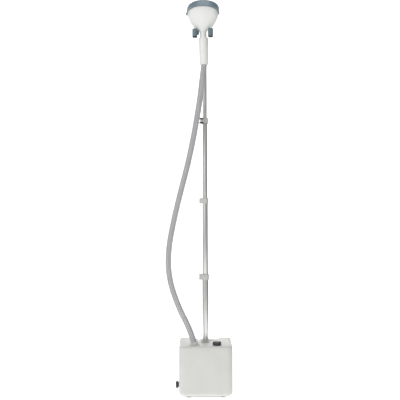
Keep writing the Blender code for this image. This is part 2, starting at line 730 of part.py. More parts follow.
def clamp(i):
    """A split collar with two ears, and a lever on an upright pin that wraps round its front."""
    z, half = CLAMP_Z[i], CLAMP_HEIGHTS[i] / 2
    lower, upper = TUBE_RADII[i], TUBE_RADII[i + 1]
    outer = lower + 0.0026
    turn = bpy.data.objects.new(f"clamp_turn_{i + 1}", None)
    PARTS.objects.link(turn)
    turn.rotation_euler = (0, 0, math.radians(CLAMP_TURNS[i]))
    top_of_tube = TUBE_SPANS[i][1]
    profile = [(outer - 0.0006, z + half), (outer, z + half - 0.0006), (outer, z - half + 0.0006)]
    profile += [(outer - 0.0006, z - half), (lower + GAP, z - half), (lower + GAP, top_of_tube + GAP)]
    profile += [(upper + GAP, top_of_tube + GAP), (upper + GAP, z + half)]
    collar = turned(f"clamp_collar_{i + 1}", COLLAR_FINISHES[i], profile, steps=20)
    pin_x, pin_y = -(outer + 0.0062), -0.0040
    for side in (-1, 1):
        near = z + side * half * 0.42
        far = z + side * (half - 0.0005)
        low, high = min(near, far), max(near, far)
        ear = block(
            f"ear_{i}_{side}",
            None,
            (pin_x - 0.0042, pin_y - 0.0042, low),
            (-outer + 0.0020, pin_y + 0.0100, high),
            corner=0.0035,
            steps=3,
        )
        ear.parent = turn
        join(collar, ear)
    bore = cylinder(f"cut_pin_{i}", None, 0.0017, (pin_x, pin_y, z - 0.03), 0.06, steps=12)
    bore.parent = turn
    slit = block(
        f"cut_slit_{i}", None, (-0.040, 0.0010, z - 0.03), (-lower + 0.002, 0.0026, z + 0.03)
    )
    slit.parent = turn
    cut(collar, bore, slit)
    reach = half * 0.42 - GAP
    inner_r, outer_r = outer + 0.0006, outer + 0.0036
    start = 180 + math.degrees(math.asin(0.0088 / inner_r))
    joint = math.radians(start + 5)
    lever = plate(
        f"clamp_lever_{i + 1}",
        "clamp_grey",
        lever_arc(inner_r, outer_r, start, 300, 8),
        z - half + 0.0008,
        z + half - 0.0008,
    )
    knuckle = cylinder(f"knuckle_{i}", None, 0.0038, (pin_x, pin_y, z - reach), 2 * reach, steps=16)
    web = plate(
        f"lever_web_{i}",
        None,
        [
            (pin_x - 0.0036, pin_y),
            (pin_x + 0.0036, pin_y),
            (inner_r * math.cos(joint), inner_r * math.sin(joint)),
            (outer_r * math.cos(joint), outer_r * math.sin(joint)),
        ],
        z - reach,
        z + reach,
    )
    room = pipe_ring(f"cut_room_{i}", None, inner_r, 0.0020, z - 0.03, z + 0.03, steps=24)
    clear = [
        cylinder(f"cut_ear_room_{i}_{side}", None, 0.0048, (pin_x, pin_y, base), 0.03, steps=16)
        for side, base in ((0, z + reach), (1, z - reach - 0.03))
    ]
    for thing in (lever, knuckle, web, *clear):
        thing.parent = turn
    join(lever, web, knuckle)
    cut(lever, room, bore, *clear)
    pin = cylinder(
        f"clamp_pin_{i + 1}", "steel", 0.0013, (pin_x, pin_y, z - half + 0.0006), 2 * half - 0.0012, 12
    )
    pin.parent = turn


# --- cradle and handset -----------------------------------------------------------------------


def cradle_and_handset_frames():
    """The cradle is turned about the mast, and the handset hangs in it leaning a little."""
    turn = bpy.data.objects.new("cradle_turn", None)
    lean = bpy.data.objects.new("handset_lean", None)
    for frame in (turn, lean):
        PARTS.objects.link(frame)
    turn.rotation_euler = (0, 0, math.radians(CRADLE_TURN))
    lean.parent = turn
    tilt = Matrix.Rotation(math.radians(HANDSET_LEAN), 4, "Y")
    pivot = Vector((0, 0, NECK_Z))
    move = Matrix.Translation(pivot) @ tilt @ Matrix.Translation(-pivot)
    lean.matrix_basis = Matrix.Translation((0, HANDSET_Y, 0)) @ move
    return turn, lean


def cradle(turn, lean):
    """Cap on the mast's top, a crossbar behind the handset's neck, and an arm to each prong."""
    bore = TUBE_RADII[3] + GAP
    profile = [(0, 1.4440), (0.0100, 1.4440), (0.0122, 1.4420), (0.0125, 1.3960), (0.0118, 1.3920)]
    profile += [(bore, 1.3920), (bore, 1.4385), (0, 1.4385)]
    body = turned("cradle_body", "slate", profile, steps=24, ring=False)
    bar = block("cradle_bar", None, (-0.038, -0.024, 1.4160), (0.038, -0.011, 1.4340), corner=0.004)
    join(body, bar)
    flare = [(z - 0.0010, *rest) for z, *rest in grown(SHELL[6:10], 0.0012)]
    scoop = loft("cut_scoop", None, flare)
    scoop.parent = lean
    for side, name in ((-1, "left"), (1, "right")):
        x = side * PRONG_X
        arm = block(
            f"cradle_arm_{name}", None, (x - ARM_HALF, PRONG_Y, 1.4180), (x + ARM_HALF, -0.0180, 1.4320)
        )
        near, far = sorted((side * LIP_X, x))
        lip = block(
            f"cradle_lip_{name}",
            None,
            (near, LIP_Y - LIP_HALF, LIP_SPAN[0]),
            (far, LIP_Y + LIP_HALF, LIP_SPAN[1]),
            corner=0.0010,
            steps=2,
        )
        room = cylinder(
            f"cut_prong_{name}", None, PRONG_RADIUS + GAP, (x, PRONG_Y, 1.400), 0.060, steps=24
        )
        prong = cylinder(
            f"prong_{name}",
            "slate",
            PRONG_RADIUS,
            (x, PRONG_Y, PRONG_SPAN[0]),
            PRONG_SPAN[1] - PRONG_SPAN[0],
            steps=24,
        )
        buffer = turned(
            f"prong_buffer_{name}",
            "rubber",
            [(0, 1.4102), (0.0096, 1.4102), (0.0096, 1.4070), (0.0082, 1.4058), (0, 1.4058)],
            (x, PRONG_Y, 0),
            steps=20,
            ring=False,
        )
        for thing in (arm, lip, room, prong, buffer):
            thing.parent = turn
        join(body, arm, lip)
        cut(body, room)
        cut(prong, scoop)
    cut(body, scoop)
    bar.parent = turn
    body.parent = turn
    cut(body, cylinder("cut_mast_top", None, bore, (0, 0, 1.380), 0.0585, steps=24))


def grown(sections, extra):
    return [(z, wide + extra, deep + extra, tilt, 0.0) for z, wide, deep, tilt in sections]


def handset_shells(lean):
    """Front and rear halves of the shell, meeting at the handset's side seams."""
    below = (HANDLE_LOW - 0.010, *SHELL[0][1:])
    above = [(HEAD_Z, SHELL[-1][1] - SHELL_WALL, SHELL[-1][2] - SHELL_WALL, HEAD_TILT, 0.008)]
    hollow = loft("cut_handset", None, grown((below, *SHELL), -SHELL_WALL) + above)
    hollow.parent = lean
    for name, low, high in (
        ("handset_rear", -0.200, 0.5 * GAP),
        ("handset_front", -0.5 * GAP, 0.200),
    ):
        shell = loft(name, "white_shell", grown(SHELL, 0.0))
        other_half = block(
            f"cut_{name}", None, (-0.200, low, 1.250), (0.200, high, 1.650)
        )
        for thing in (shell, other_half):
            thing.parent = lean
        cut(shell, hollow, other_half)


def head(lean):
    rim = [(HEAD_Z, wide, deep, HEAD_TILT, rise) for wide, deep, rise in BONNET]
    bonnet = loft("bonnet", "slate", rim, steps=28, ring=True)
    seal = [(0.0560, 0.0406, 0.0268), (0.0560, 0.0406, 0.0281)]
    seal += [(0.0515, 0.0361, 0.0281), (0.0515, 0.0361, 0.0268)]
    gasket = loft(
        "plate_gasket", "rubber", [(HEAD_Z, w, d, HEAD_TILT, r) for w, d, r in seal], ring=True
    )
    disc = [(0.0574, 0.0420, 0.0284), (0.0574, 0.0420, 0.0300), (0.0562, 0.0408, 0.0308)]
    steam_plate = loft(
        "steam_plate", "steel", [(HEAD_Z, w, d, HEAD_TILT, r) for w, d, r in disc], steps=28
    )
    for piece in (bonnet, gasket, steam_plate):
        piece.parent = lean
    count = 10
    for i in range(count):
        angle = 2 * math.pi * i / count
        hole = cylinder(f"cut_steam_{i}", None, 0.0020, (0, 0, 0.010), 0.050, steps=6)
        hole.parent = lean
        tilt = Matrix.Rotation(math.radians(-HEAD_TILT), 4, "X")
        at = Matrix.Translation(
            (HOLE_RING[0] * math.cos(angle), HOLE_RING[1] * math.sin(angle), 0.015)
        )
        hole.matrix_basis = Matrix.Translation((0, 0, HEAD_Z)) @ tilt @ at
        cut(steam_plate, hole)


def handset_inside(lean):
    tube = pipe_ring("steam_tube", "silicone", 0.0060, 0.0045, 1.3180, 1.4780, steps=16)
    ferrule = turned(
        "handle_ferrule",
        "white_shell",
        [
            (0.0136, 1.3200),
            (0.0136, 1.3057),
            (0.0172, 1.3057),
            (0.0172, 1.3030),
            (0.0164, 1.3020),
            (HOSE_RADIUS + 0.0006, 1.3020),
            (HOSE_RADIUS + 0.0006, 1.3200),
        ],
        steps=24,
    )
    for piece in (tube, ferrule):
        piece.parent = lean


def steam_hose():
    bent_tube("steam_hose", "hose_braid", smooth_route(HOSE_ROUTE, HOSE_STEPS), HOSE_RADIUS)


def main():
    passage = tank_passage()
    base_housing(passage)
    top_deck(passage)
    bottom_plate()
    feet()
    base_screws()
    pole_socket()
    hose_collar()
    boiler()
    feed_pipe()
    switch_and_knob()
    drain()
    mains_gland()
    tank_bay()
    water_tank()
    tank_valve()
    mast()
    for i in range(3):
        clamp(i)
    turn, lean = cradle_and_handset_frames()
    cradle(turn, lean)
    handset_shells(lean)
    head(lean)
    handset_inside(lean)
    steam_hose()


main()
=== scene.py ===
"""The looks of an upright garment steamer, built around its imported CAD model.

Metres, +Z up, in the CAD's own frame: the origin is on the floor under the mast and -Y is the front.
Each section makes one assembly, and its pieces ride on the CAD bodies that they belong to.
"""

import json
import math

import bmesh
import bpy
import numpy as np
from mathutils import Matrix, Vector


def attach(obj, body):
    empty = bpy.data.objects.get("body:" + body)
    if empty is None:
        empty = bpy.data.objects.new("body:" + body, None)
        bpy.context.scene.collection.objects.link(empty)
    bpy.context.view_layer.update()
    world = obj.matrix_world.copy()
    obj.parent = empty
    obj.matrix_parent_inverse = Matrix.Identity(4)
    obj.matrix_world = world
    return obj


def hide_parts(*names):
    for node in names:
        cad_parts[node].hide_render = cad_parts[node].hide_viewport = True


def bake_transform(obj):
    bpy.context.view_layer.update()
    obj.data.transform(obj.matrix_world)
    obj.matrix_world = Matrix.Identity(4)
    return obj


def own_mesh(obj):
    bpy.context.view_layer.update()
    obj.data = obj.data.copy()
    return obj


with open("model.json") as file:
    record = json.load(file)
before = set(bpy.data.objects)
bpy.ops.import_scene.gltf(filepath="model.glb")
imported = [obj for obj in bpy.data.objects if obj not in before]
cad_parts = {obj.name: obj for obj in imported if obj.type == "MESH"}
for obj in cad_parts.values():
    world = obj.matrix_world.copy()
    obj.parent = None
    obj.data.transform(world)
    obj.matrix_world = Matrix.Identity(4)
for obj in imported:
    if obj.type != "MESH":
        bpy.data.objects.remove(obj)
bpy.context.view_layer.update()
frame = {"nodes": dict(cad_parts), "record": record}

# --- camera and lights ------------------------------------

CAMERA_AT = (-0.0204, -3.0, 0.770)
CAMERA_LENS = 67.5
CAMERA_ROLL = math.radians(-0.187)


def look_at(thing, target):
    thing.rotation_euler = (Vector(target) - thing.location).to_track_quat("-Z", "Y").to_euler()


def add_camera():
    data = bpy.data.cameras.new("camera")
    data.lens = CAMERA_LENS
    data.sensor_width = 36.0
    camera = bpy.data.objects.new("camera", data)
    bpy.context.scene.collection.objects.link(camera)
    level = Matrix.Rotation(math.pi / 2, 4, "X")
    roll = Matrix.Rotation(CAMERA_ROLL, 4, "Z")
    camera.matrix_world = Matrix.Translation(CAMERA_AT) @ level @ roll
    bpy.context.scene.camera = camera


def add_light(name, at, target, size, power):
    data = bpy.data.lights.new(name, "AREA")
    data.shape = "RECTANGLE"
    data.size, data.size_y = size
    data.energy = power
    light = bpy.data.objects.new(name, data)
    light.location = at
    bpy.context.scene.collection.objects.link(light)
    look_at(light, target)


def add_world():
    world = bpy.data.worlds.new("studio")
    world.use_nodes = True
    background = world.node_tree.nodes["Background"]
    background.inputs["Color"].default_value = (1.0, 1.0, 1.0, 1.0)
    background.inputs["Strength"].default_value = 0.50
    bpy.context.scene.world = world


def add_flag(name, at, depth, grey):
    """A tall grey card beside the object for metal and glossy plastic to reflect, itself unseen."""
    x, y = at
    low, high = y - depth / 2, y + depth / 2
    mesh = bpy.data.meshes.new(name)
    mesh.from_pydata([(x, low, 0.0), (x, high, 0.0), (x, high, 3.0), (x, low, 3.0)], [], [(0, 1, 2, 3)])
    felt = bpy.data.materials.new(name)
    felt.use_nodes = True
    shader = felt.node_tree.nodes["Principled BSDF"]
    shader.inputs["Base Color"].default_value = (grey, grey, grey, 1.0)
    shader.inputs["Roughness"].default_value = 1.0
    mesh.materials.append(felt)
    flag = bpy.data.objects.new(name, mesh)
    flag.visible_camera = False
    bpy.context.scene.collection.objects.link(flag)


def add_studio():
    """Pale floor that curves up into a backdrop, with soft light from the front left and above."""
    half, front, back, top, bend = 4.0, -4.5, 2.2, 4.5, 1.0
    line = [(front, 0.0), (back - bend, 0.0)]
    for i in range(1, 17):
        angle = math.pi / 2 * i / 16
        line.append((back - bend + bend * math.sin(angle), bend - bend * math.cos(angle)))
    line.append((back, top))
    points = [(x, y, z) for y, z in line for x in (-half, half)]
    faces = [(2 * i, 2 * i + 1, 2 * i + 3, 2 * i + 2) for i in range(len(line) - 1)]
    mesh = bpy.data.meshes.new("studio_sweep")
    mesh.from_pydata(points, [], faces)
    mesh.shade_smooth()
    sweep = bpy.data.objects.new("studio_sweep", mesh)
    bpy.context.scene.collection.objects.link(sweep)
    paper = bpy.data.materials.new("studio_paper")
    paper.use_nodes = True
    shader = paper.node_tree.nodes["Principled BSDF"]
    shader.inputs["Base Color"].default_value = (0.86, 0.86, 0.86, 1.0)
    shader.inputs["Roughness"].default_value = 0.9
    shader.inputs["Emission Color"].default_value = (1.0, 1.0, 1.0, 1.0)
    shader.inputs["Emission Strength"].default_value = 0.80
    mesh.materials.append(paper)
    add_flag("flag_left", (-1.75, 0.35), 2.6, 0.50)
    add_flag("flag_right", (1.65, 0.15), 3.0, 0.20)
    add_light("key", (-1.9, -2.3, 1.9), (0.0, 0.0, 0.75), (1.2, 2.4), 18.0)
    add_light("fill", (2.4, -2.0, 1.0), (0.0, 0.0, 0.7), (0.8, 2.2), 3.5)
    add_light("overhead", (0.0, -0.6, 3.2), (0.0, 0.0, 0.6), (1.6, 1.6), 19.0)


bpy.context.scene.view_settings.view_transform = "Standard"
add_camera()
add_world()
add_studio()

# --- materials --------------------------------------------


class Shader:
    """A material under construction: a Principled BSDF and short calls for the nodes that feed it."""

    def __init__(self, name, roughness=0.5, metallic=0.0, **constants):
        self.material = bpy.data.materials.new(name)
        self.material.use_nodes = True
        self.tree = self.material.node_tree
        self.bsdf = self.tree.nodes["Principled BSDF"]
        self.bsdf.inputs["Roughness"].default_value = roughness
        self.bsdf.inputs["Metallic"].default_value = metallic
        for socket, value in constants.items():
            self.bsdf.inputs[socket.replace("_", " ")].default_value = value

    def node(self, kind, settings=(), **inputs):
        node = self.tree.nodes.new(kind)
        for key, value in dict(settings).items():
            setattr(node, key, value)
        for key, value in inputs.items():
            self.plug(node.inputs[int(key[1:]) if key[1:].isdigit() else key.replace("_", " ")], value)
        return node

    def plug(self, socket, value):
        if isinstance(value, bpy.types.NodeSocket):
            self.tree.links.new(value, socket)
        else:
            socket.default_value = value

    def math(self, operation, a, b=0.0, c=0.0):
        return self.node("ShaderNodeMath", {"operation": operation}, _0=a, _1=b, _2=c).outputs[0]

    def place(self, stretch=(1.0, 1.0, 1.0)):
        at = self.node("ShaderNodeTexCoord").outputs["Object"]
        return self.node("ShaderNodeMapping", Vector=at, Scale=stretch).outputs[0]

    def noise(self, vector, scale, detail=3.0, roughness=0.55):
        node = self.node(
            "ShaderNodeTexNoise", Vector=vector, Scale=scale, Detail=detail, Roughness=roughness
        )
        return node.outputs["Fac"]

    def between(self, factor, low, high, start=0.3, stop=0.7):
        """A number that goes from low to high as factor goes from start to stop."""
        node = self.node("ShaderNodeMapRange", Value=factor)
        for key, value in (("From Min", start), ("From Max", stop), ("To Min", low), ("To Max", high)):
            node.inputs[key].default_value = value
        return node.outputs[0]

    def mix(self, factor, first, second):
        node = self.node("ShaderNodeMix", {"data_type": "RGBA"}, Factor=factor)
        for socket, value in ((node.inputs[6], first), (node.inputs[7], second)):
            self.plug(socket, (*value, 1.0) if isinstance(value, tuple) else value)
        return node.outputs[2]

    def feed(self, socket, value):
        self.tree.links.new(value, self.bsdf.inputs[socket])

    def bump(self, height, distance, strength=1.0):
        node = self.node("ShaderNodeBump", Height=height, Distance=distance, Strength=strength)
        self.feed("Normal", node.outputs[0])


def shade(colour, factor):
    return tuple(min(1.0, part * factor) for part in colour)


def moulded(name, colour, roughness, grain, depth, spread=0.025, **constants):
    """Moulded plastic: slow tint drift, lighter sharp edges, painted shade in the corners and a fine grain.
    """
    s = Shader(name, roughness, **constants)
    at = s.place()
    drift = s.noise(at, 14.0, 2.0)
    tint = s.mix(s.between(drift, 0.0, 1.0), shade(colour, 1 - spread), shade(colour, 1 + spread))
    edge = s.node("ShaderNodeNewGeometry").outputs["Pointiness"]
    # Sharp outer edges, where pointiness is high, turn a little lighter.
    pale_edged = s.mix(s.between(edge, 0.0, 0.5, 0.53, 0.62), tint, shade(colour, 1.10))
    # Painted shade: hollows and inner corners, where pointiness is low, are darkened towards 0.72 of the
    # colour.
    s.feed("Base Color", s.mix(s.between(edge, 0.35, 0.0, 0.40, 0.49), pale_edged, shade(colour, 0.72)))
    fine = s.noise(at, grain, 4.0)
    s.feed("Roughness", s.between(fine, roughness - 0.05, roughness + 0.07))
    s.bump(fine, depth)
    return s.material


def rubber(name, colour):
    s = Shader(name, 0.75, Sheen_Weight=0.15)
    at = s.place()
    s.feed("Base Color", s.mix(s.noise(at, 60.0), shade(colour, 0.8), shade(colour, 1.3)))
    fine = s.noise(at, 1600.0)
    s.feed("Roughness", s.between(fine, 0.66, 0.84))
    s.bump(fine, 0.0001)
    return s.material


def brushed(name, colour, roughness, stretch, depth, anisotropic=0.5):
    """Metal with fine brush lines, drawn out along the axis whose stretch is small."""
    s = Shader(name, roughness, 1.0, Anisotropic=anisotropic)
    lines = s.noise(s.place(stretch), 1.0, 5.0, 0.7)
    haze = s.noise(s.place(), 9.0, 2.0)
    tint = s.mix(s.between(lines, 0.0, 1.0), shade(colour, 0.93), shade(colour, 1.05))
    s.feed("Base Color", s.mix(s.between(haze, 0.0, 0.5), tint, shade(colour, 0.97)))
    s.feed("Roughness", s.between(lines, roughness - 0.05, roughness + 0.08))
    s.bump(lines, depth)
    return s.material


def cast(name, colour):
    s = Shader(name, 0.5, 1.0)
    at = s.place()
    s.feed("Base Color", s.mix(s.noise(at, 40.0), shade(colour, 0.85), shade(colour, 1.1)))
    grain = s.noise(at, 500.0, 5.0, 0.7)
    s.feed("Roughness", s.between(grain, 0.42, 0.62))
    s.bump(grain, 0.0003)
    return s.material


def smoked(name, colour):
    """Tinted clear plastic of the tank, with faint flow marks and patchy roughness."""
    s = Shader(name, 0.12, Transmission_Weight=0.75, IOR=1.49)
    at = s.place()
    flow = s.noise(s.place((8.0, 8.0, 30.0)), 1.0, 3.0)
    s.feed("Base Color", s.mix(flow, shade(colour, 0.92), shade(colour, 1.05)))
    s.feed("Roughness", s.between(s.noise(at, 35.0), 0.08, 0.22))
    s.bump(flow, 0.0002)
    return s.material


STRANDS = 6
DOT_PITCH = 0.0104


def braid(name):
    """Woven hose cover: pale diagonal strands, with a staggered row of near-black picks.

    U runs once round the hose and V is the distance along it in metres.
    """
    s = Shader(name, 0.85, Sheen_Weight=0.35, Sheen_Roughness=0.5)
    uv = s.node("ShaderNodeUVMap", {"uv_map": "braid"}).outputs[0]
    split = s.node("ShaderNodeSeparateXYZ", Vector=uv)
    turn = s.math("MULTIPLY", split.outputs["X"], float(STRANDS))
    run = s.math("MULTIPLY", split.outputs["Y"], 1 / DOT_PITCH)
    one = s.math("SUBTRACT", s.math("FRACT", s.math("ADD", turn, run)), 0.5)
    two = s.math("SUBTRACT", s.math("FRACT", s.math("SUBTRACT", turn, run)), 0.5)
    wobble = s.between(s.noise(s.place(), 260.0, 2.0), -0.035, 0.035)
    away = s.math("SQRT", s.math("ADD", s.math("POWER", one, 2.0), s.math("POWER", two, 2.0)))
    dot = s.between(s.math("ADD", away, wobble), 1.0, 0.0, 0.29, 0.37)
    edge = s.math("MAXIMUM", s.math("ABSOLUTE", one), s.math("ABSOLUTE", two))
    valley = s.between(edge, 0.0, 0.75, 0.40, 0.49)
    yarn = s.noise(uv, 900.0, 3.0)
    pale = s.mix(s.between(yarn, 0.0, 1.0), (0.60, 0.60, 0.62), (0.78, 0.78, 0.79))
    cloth = s.mix(valley, pale, (0.34, 0.34, 0.36))
    s.feed("Base Color", s.mix(dot, cloth, (0.012, 0.012, 0.014)))
    threads = s.math("SINE", s.math("MULTIPLY", s.math("ADD", one, two), 22.0))
    relief = s.math("SUBTRACT", s.math("MULTIPLY", threads, 0.25), valley)
    s.bump(s.math("SUBTRACT", relief, s.math("MULTIPLY", dot, 0.3)), 0.0003)
    return s.material


WHITE = (0.60, 0.60, 0.575)
MATERIALS = {
    "body_white": moulded("body_white", WHITE, 0.42, 1500.0, 0.00004),
    "handset_white": moulded("handset_white", (0.77, 0.77, 0.75), 0.32, 1500.0, 0.00002, Coat_Weight=0.2),
    "slate_plastic": moulded(
        "slate_plastic", (0.115, 0.170, 0.200), 0.30, 1500.0, 0.00003, 0.08, Coat_Weight=0.3
    ),
    "charcoal_plastic": moulded("charcoal_plastic", (0.030, 0.036, 0.044), 0.45, 1200.0, 0.00006, 0.10),
    "clamp_grey": moulded("clamp_grey", (0.50, 0.50, 0.48), 0.40, 1400.0, 0.00005, 0.04),
    # Sole grey is partly the bottom plate's own dark grey and partly a painted shadow, giving the dark line
    # under the housing.
    "sole_grey": moulded("sole_grey", (0.10, 0.10, 0.105), 0.60, 900.0, 0.00010, 0.10),
    "tank_smoke": smoked("tank_smoke", (0.62, 0.64, 0.64)),
    "rubber_black": rubber("rubber_black", (0.011, 0.011, 0.011)),
    "silicone_white": rubber("silicone_white", (0.62, 0.60, 0.56)),
    "mast_chrome": brushed("mast_chrome", (0.66, 0.655, 0.64), 0.28, (700.0, 700.0, 5.0), 0.000003),
    "steel": brushed("steel", (0.60, 0.59, 0.58), 0.25, (700.0, 30.0, 30.0), 0.00003),
    "cast_alloy": cast("cast_alloy", (0.50, 0.50, 0.51)),
    "hose_braid": braid("hose_braid"),
}

# --- meshes -----------------------------------------------

SLOTS = {row["node"]: row["material_slot"] for row in frame["record"]["subparts"]}
BODIES = {node: body for body, nodes in frame["record"]["behaviour"]["bodies"].items() for node in nodes}
TUBE_RADII = (0.0125, 0.0110, 0.0095, 0.0080)
TUBE_SPANS = ((0.061, 0.466), (0.393, 0.770), (0.693, 1.088), (1.010, 1.438))
HOSE_LEAN = 17.0
SHARP_ANGLE = math.radians(32.0)


def as_object(form, name):
    """A finished mesh as an object in the scene, shaded smooth but for its sharp edges."""
    bmesh.ops.recalc_face_normals(form, faces=form.faces)
    mesh = bpy.data.meshes.new(name)
    form.to_mesh(mesh)
    form.free()
    mesh.shade_smooth()
    mesh.set_sharp_from_angle(angle=SHARP_ANGLE)
    thing = bpy.data.objects.new(name, mesh)
    bpy.context.scene.collection.objects.link(thing)
    return thing


def piece(thing, node):
    """Lets a mesh stand for a CAD node: it takes that node's finish and rides on its body."""
    slot = SLOTS[node]
    thing.data.materials.clear()
    thing.data.materials.append(MATERIALS[slot])
    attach(thing, BODIES[node])
    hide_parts(node)
    return thing


def eased(points, radius, steps=4, closed=True):
    """An outline or profile with each corner rounded to about that radius."""
    flat = [Vector(p) for p in points]
    count = len(flat)
    out = []
    for i, corner in enumerate(flat):
        if not closed and i in (0, count - 1):
            out.append(corner)
            continue
        before, after = flat[i - 1] - corner, flat[(i + 1) % count] - corner
        if before.length < 1e-7 or after.length < 1e-7:
            continue
        reach = min(radius, 0.46 * before.length, 0.46 * after.length)
        start = corner + before.normalized() * reach
        stop = corner + after.normalized() * reach
        for k in range(steps + 1):
            t = k / steps
            out.append((1 - t) ** 2 * start + 2 * t * (1 - t) * corner + t**2 * stop)
    return out


def skin(rings, loop=False):
    """A surface through rings of equally many points, joined last to first or capped at both ends."""
    form = bmesh.new()
    rows = [[form.verts.new(point) for point in ring] for ring in rings]
    pairs = list(zip(rows, rows[1:]))
    if loop:
        pairs.append((rows[-1], rows[0]))
    else:
        form.faces.new(rows[0])
        form.faces.new(rows[-1])
    count = len(rows[0])
    for one, two in pairs:
        for i in range(count):
            j = (i + 1) % count
            form.faces.new((one[i], one[j], two[j], two[i]))
    return form


def lathe(name, profile, centre=(0.0, 0.0, 0.0), steps=72, ease=0.0, loop=True, flute=None):
    """Turns a (radius, height) profile about Z. flute scales the radius by bearing and height."""
    points = eased(profile, ease, 3, closed=loop) if ease else [Vector(p) for p in profile]
    rings = []
    for radius, height in points:
        ring = []
        for i in range(steps):
            bearing = 2 * math.pi * i / steps
            r = radius * (flute(bearing, height) if flute else 1.0)
            ring.append((r * math.cos(bearing), r * math.sin(bearing), height))
        rings.append(ring)
    thing = as_object(skin(rings, loop), name)
    thing.data.transform(Matrix.Translation(centre))
    return thing


def tube(name, outer, inner, low, high, centre=(0.0, 0.0, 0.0), steps=72, ease=0.0003):
    profile = [(outer, high), (outer, low), (inner, low), (inner, high)]
    return lathe(name, profile, centre, steps, ease)


def shrunk(outline, by):
    """An outline with each point moved inwards, square to the outline there."""
    count = len(outline)
    area = sum(a.x * b.y - b.x * a.y for a, b in zip(outline, outline[1:] + outline[:1]))
    side = math.copysign(1.0, area)
    out = []
    for i, point in enumerate(outline):
        along = (outline[(i + 1) % count] - outline[i - 1]).normalized()
        out.append(point + Vector((-along.y, along.x)) * by * side)
    return out


def prism(name, outline, low, high, ease=0.0004, steps=3):
    """A plan outline given a height, with its upper and lower edges eased."""
    outline = [Vector(p) for p in outline]
    rings = []
    for base, way in ((low, 1.0), (high, -1.0)):
        turn = []
        for k in range(steps + 1):
            angle = math.pi / 2 * k / steps
            inset, up = ease * (1 - math.sin(angle)), ease * (1 - math.cos(angle))
            turn.append([(p.x, p.y, base + way * up) for p in shrunk(outline, inset)])
        rings += turn if way > 0 else turn[::-1]
    return as_object(skin(rings), name)


def rectangle(half_x, half_y, corner, steps, centre=(0.0, 0.0), rear=None):
    """A rounded rectangle's plan outline, whose two rear corners may have a radius of their own."""
    out = []
    for quarter, (sx, sy) in enumerate(((1, 1), (-1, 1), (-1, -1), (1, -1))):
        radius = rear if rear and sy > 0 else corner
        for k in range(steps + 1):
            angle = math.pi / 2 * (quarter + k / steps)
            x = sx * (half_x - radius) + radius * math.cos(angle)
            y = sy * (half_y - radius) + radius * math.sin(angle)
            out.append(Vector((centre[0] + x, centre[1] + y)))
    return out


def boxed(low, high, corner, ease=0.0004):
    """A block between two corners of space with rounded upright edges."""
    low, high = Vector(low), Vector(high)
    middle = (low + high) / 2
    plan = rectangle((high.x - low.x) / 2, (high.y - low.y) / 2, corner, 6, middle.xy)
    return prism("box", plan, low.z, high.z, ease)


def combine(thing, others, operation):
    """Joins or cuts a mesh with others, which are used up."""
    for other in others:
        step = thing.modifiers.new("combine", "BOOLEAN")
        step.operation = operation
        step.object = other
    graph = bpy.context.evaluated_depsgraph_get()
    mesh = bpy.data.meshes.new_from_object(thing.evaluated_get(graph))
    thing.modifiers.clear()
    thing.data = mesh
    mesh.shade_smooth()
    mesh.set_sharp_from_angle(angle=SHARP_ANGLE)
    for other in others:
        bpy.data.objects.remove(other, do_unlink=True)
    return thing


def cut(thing, *cutters):
    return combine(thing, cutters, "DIFFERENCE")


def join(thing, *others):
    return combine(thing, others, "UNION")


def moved(thing, matrix):
    thing.data.transform(matrix)
    return thing


def rod(radius, start, stop, steps=40):
    """A plain round bar between two points, for cutting bores or for pins."""
    start, stop = Vector(start), Vector(stop)
    along = stop - start
    turns = [2 * math.pi * i / steps for i in range(steps)]
    rings = [[(radius * math.cos(a), radius * math.sin(a), z) for a in turns] for z in (0, along.length)]
    bar = as_object(skin(rings), "rod")
    turn = Vector((0, 0, 1)).rotation_difference(along.normalized()).to_matrix().to_4x4()
    return moved(bar, Matrix.Translation(start) @ turn)


# --- hose -------------------------------------------------

HOSE_RADIUS = 0.012
HOSE_ROUTE = (
    (-0.0430, -0.063, 0.201),
    (-0.0460, -0.063, 0.211),
    (-0.0525, -0.063, 0.232),
    (-0.0630, -0.063, 0.262),
    (-0.0770, -0.063, 0.293),
    (-0.0920, -0.062, 0.323),
    (-0.1060, -0.062, 0.355),
    (-0.1180, -0.061, 0.386),
    (-0.1290, -0.060, 0.418),
    (-0.1370, -0.060, 0.449),
    (-0.1425, -0.059, 0.481),
    (-0.1450, -0.059, 0.512),
    (-0.1450, -0.058, 0.543),
    (-0.1430, -0.058, 0.574),
    (-0.1395, -0.057, 0.606),
    (-0.1340, -0.057, 0.637),
    (-0.1210, -0.055, 0.700),
    (-0.1065, -0.054, 0.762),
    (-0.0905, -0.053, 0.825),
    (-0.0740, -0.052, 0.888),
    (-0.0590, -0.051, 0.951),
    (-0.0460, -0.050, 1.014),
    (-0.0345, -0.049, 1.077),
    (-0.0240, -0.048, 1.140),
    (-0.0150, -0.047, 1.203),
    (-0.0085, -0.046, 1.258),
    (-0.0048, -0.045, 1.284),
    (-0.0034, -0.045, 1.300),
    (-0.0035, -0.045, 1.312),
)
HOSE_SIDES = 72
RING_STEP = 0.0018
LAST_SPLIT = 1.160


def catmull(knots, steps):
    """Points on a Catmull-Rom curve through the knots, steps of them from each knot to the next."""
    ends = [2 * knots[0] - knots[1], *knots, 2 * knots[-1] - knots[-2]]
    out = []
    for a, b, c, d in zip(ends, ends[1:], ends[2:], ends[3:]):
        for i in range(steps):
            t = i / steps
            bend, twist = 2 * a - 5 * b + 4 * c - d, 3 * b - a - 3 * c + d
            out.append(0.5 * (2 * b + (c - a) * t + bend * t**2 + twist * t**3))
    out.append(knots[-1])
    return out


def hose_line():
    """Ring centres along the hose at even spacing, as an array, with the distance run at each."""
    fine = np.array(catmull([Vector(p) for p in HOSE_ROUTE], 40))
    run = np.concatenate([[0.0], np.cumsum(np.linalg.norm(np.diff(fine, axis=0), axis=1))])
    at = np.linspace(0.0, run[-1], round(run[-1] / RING_STEP) + 1)
    return np.stack([np.interp(at, run, fine[:, k]) for k in range(3)], axis=1), at


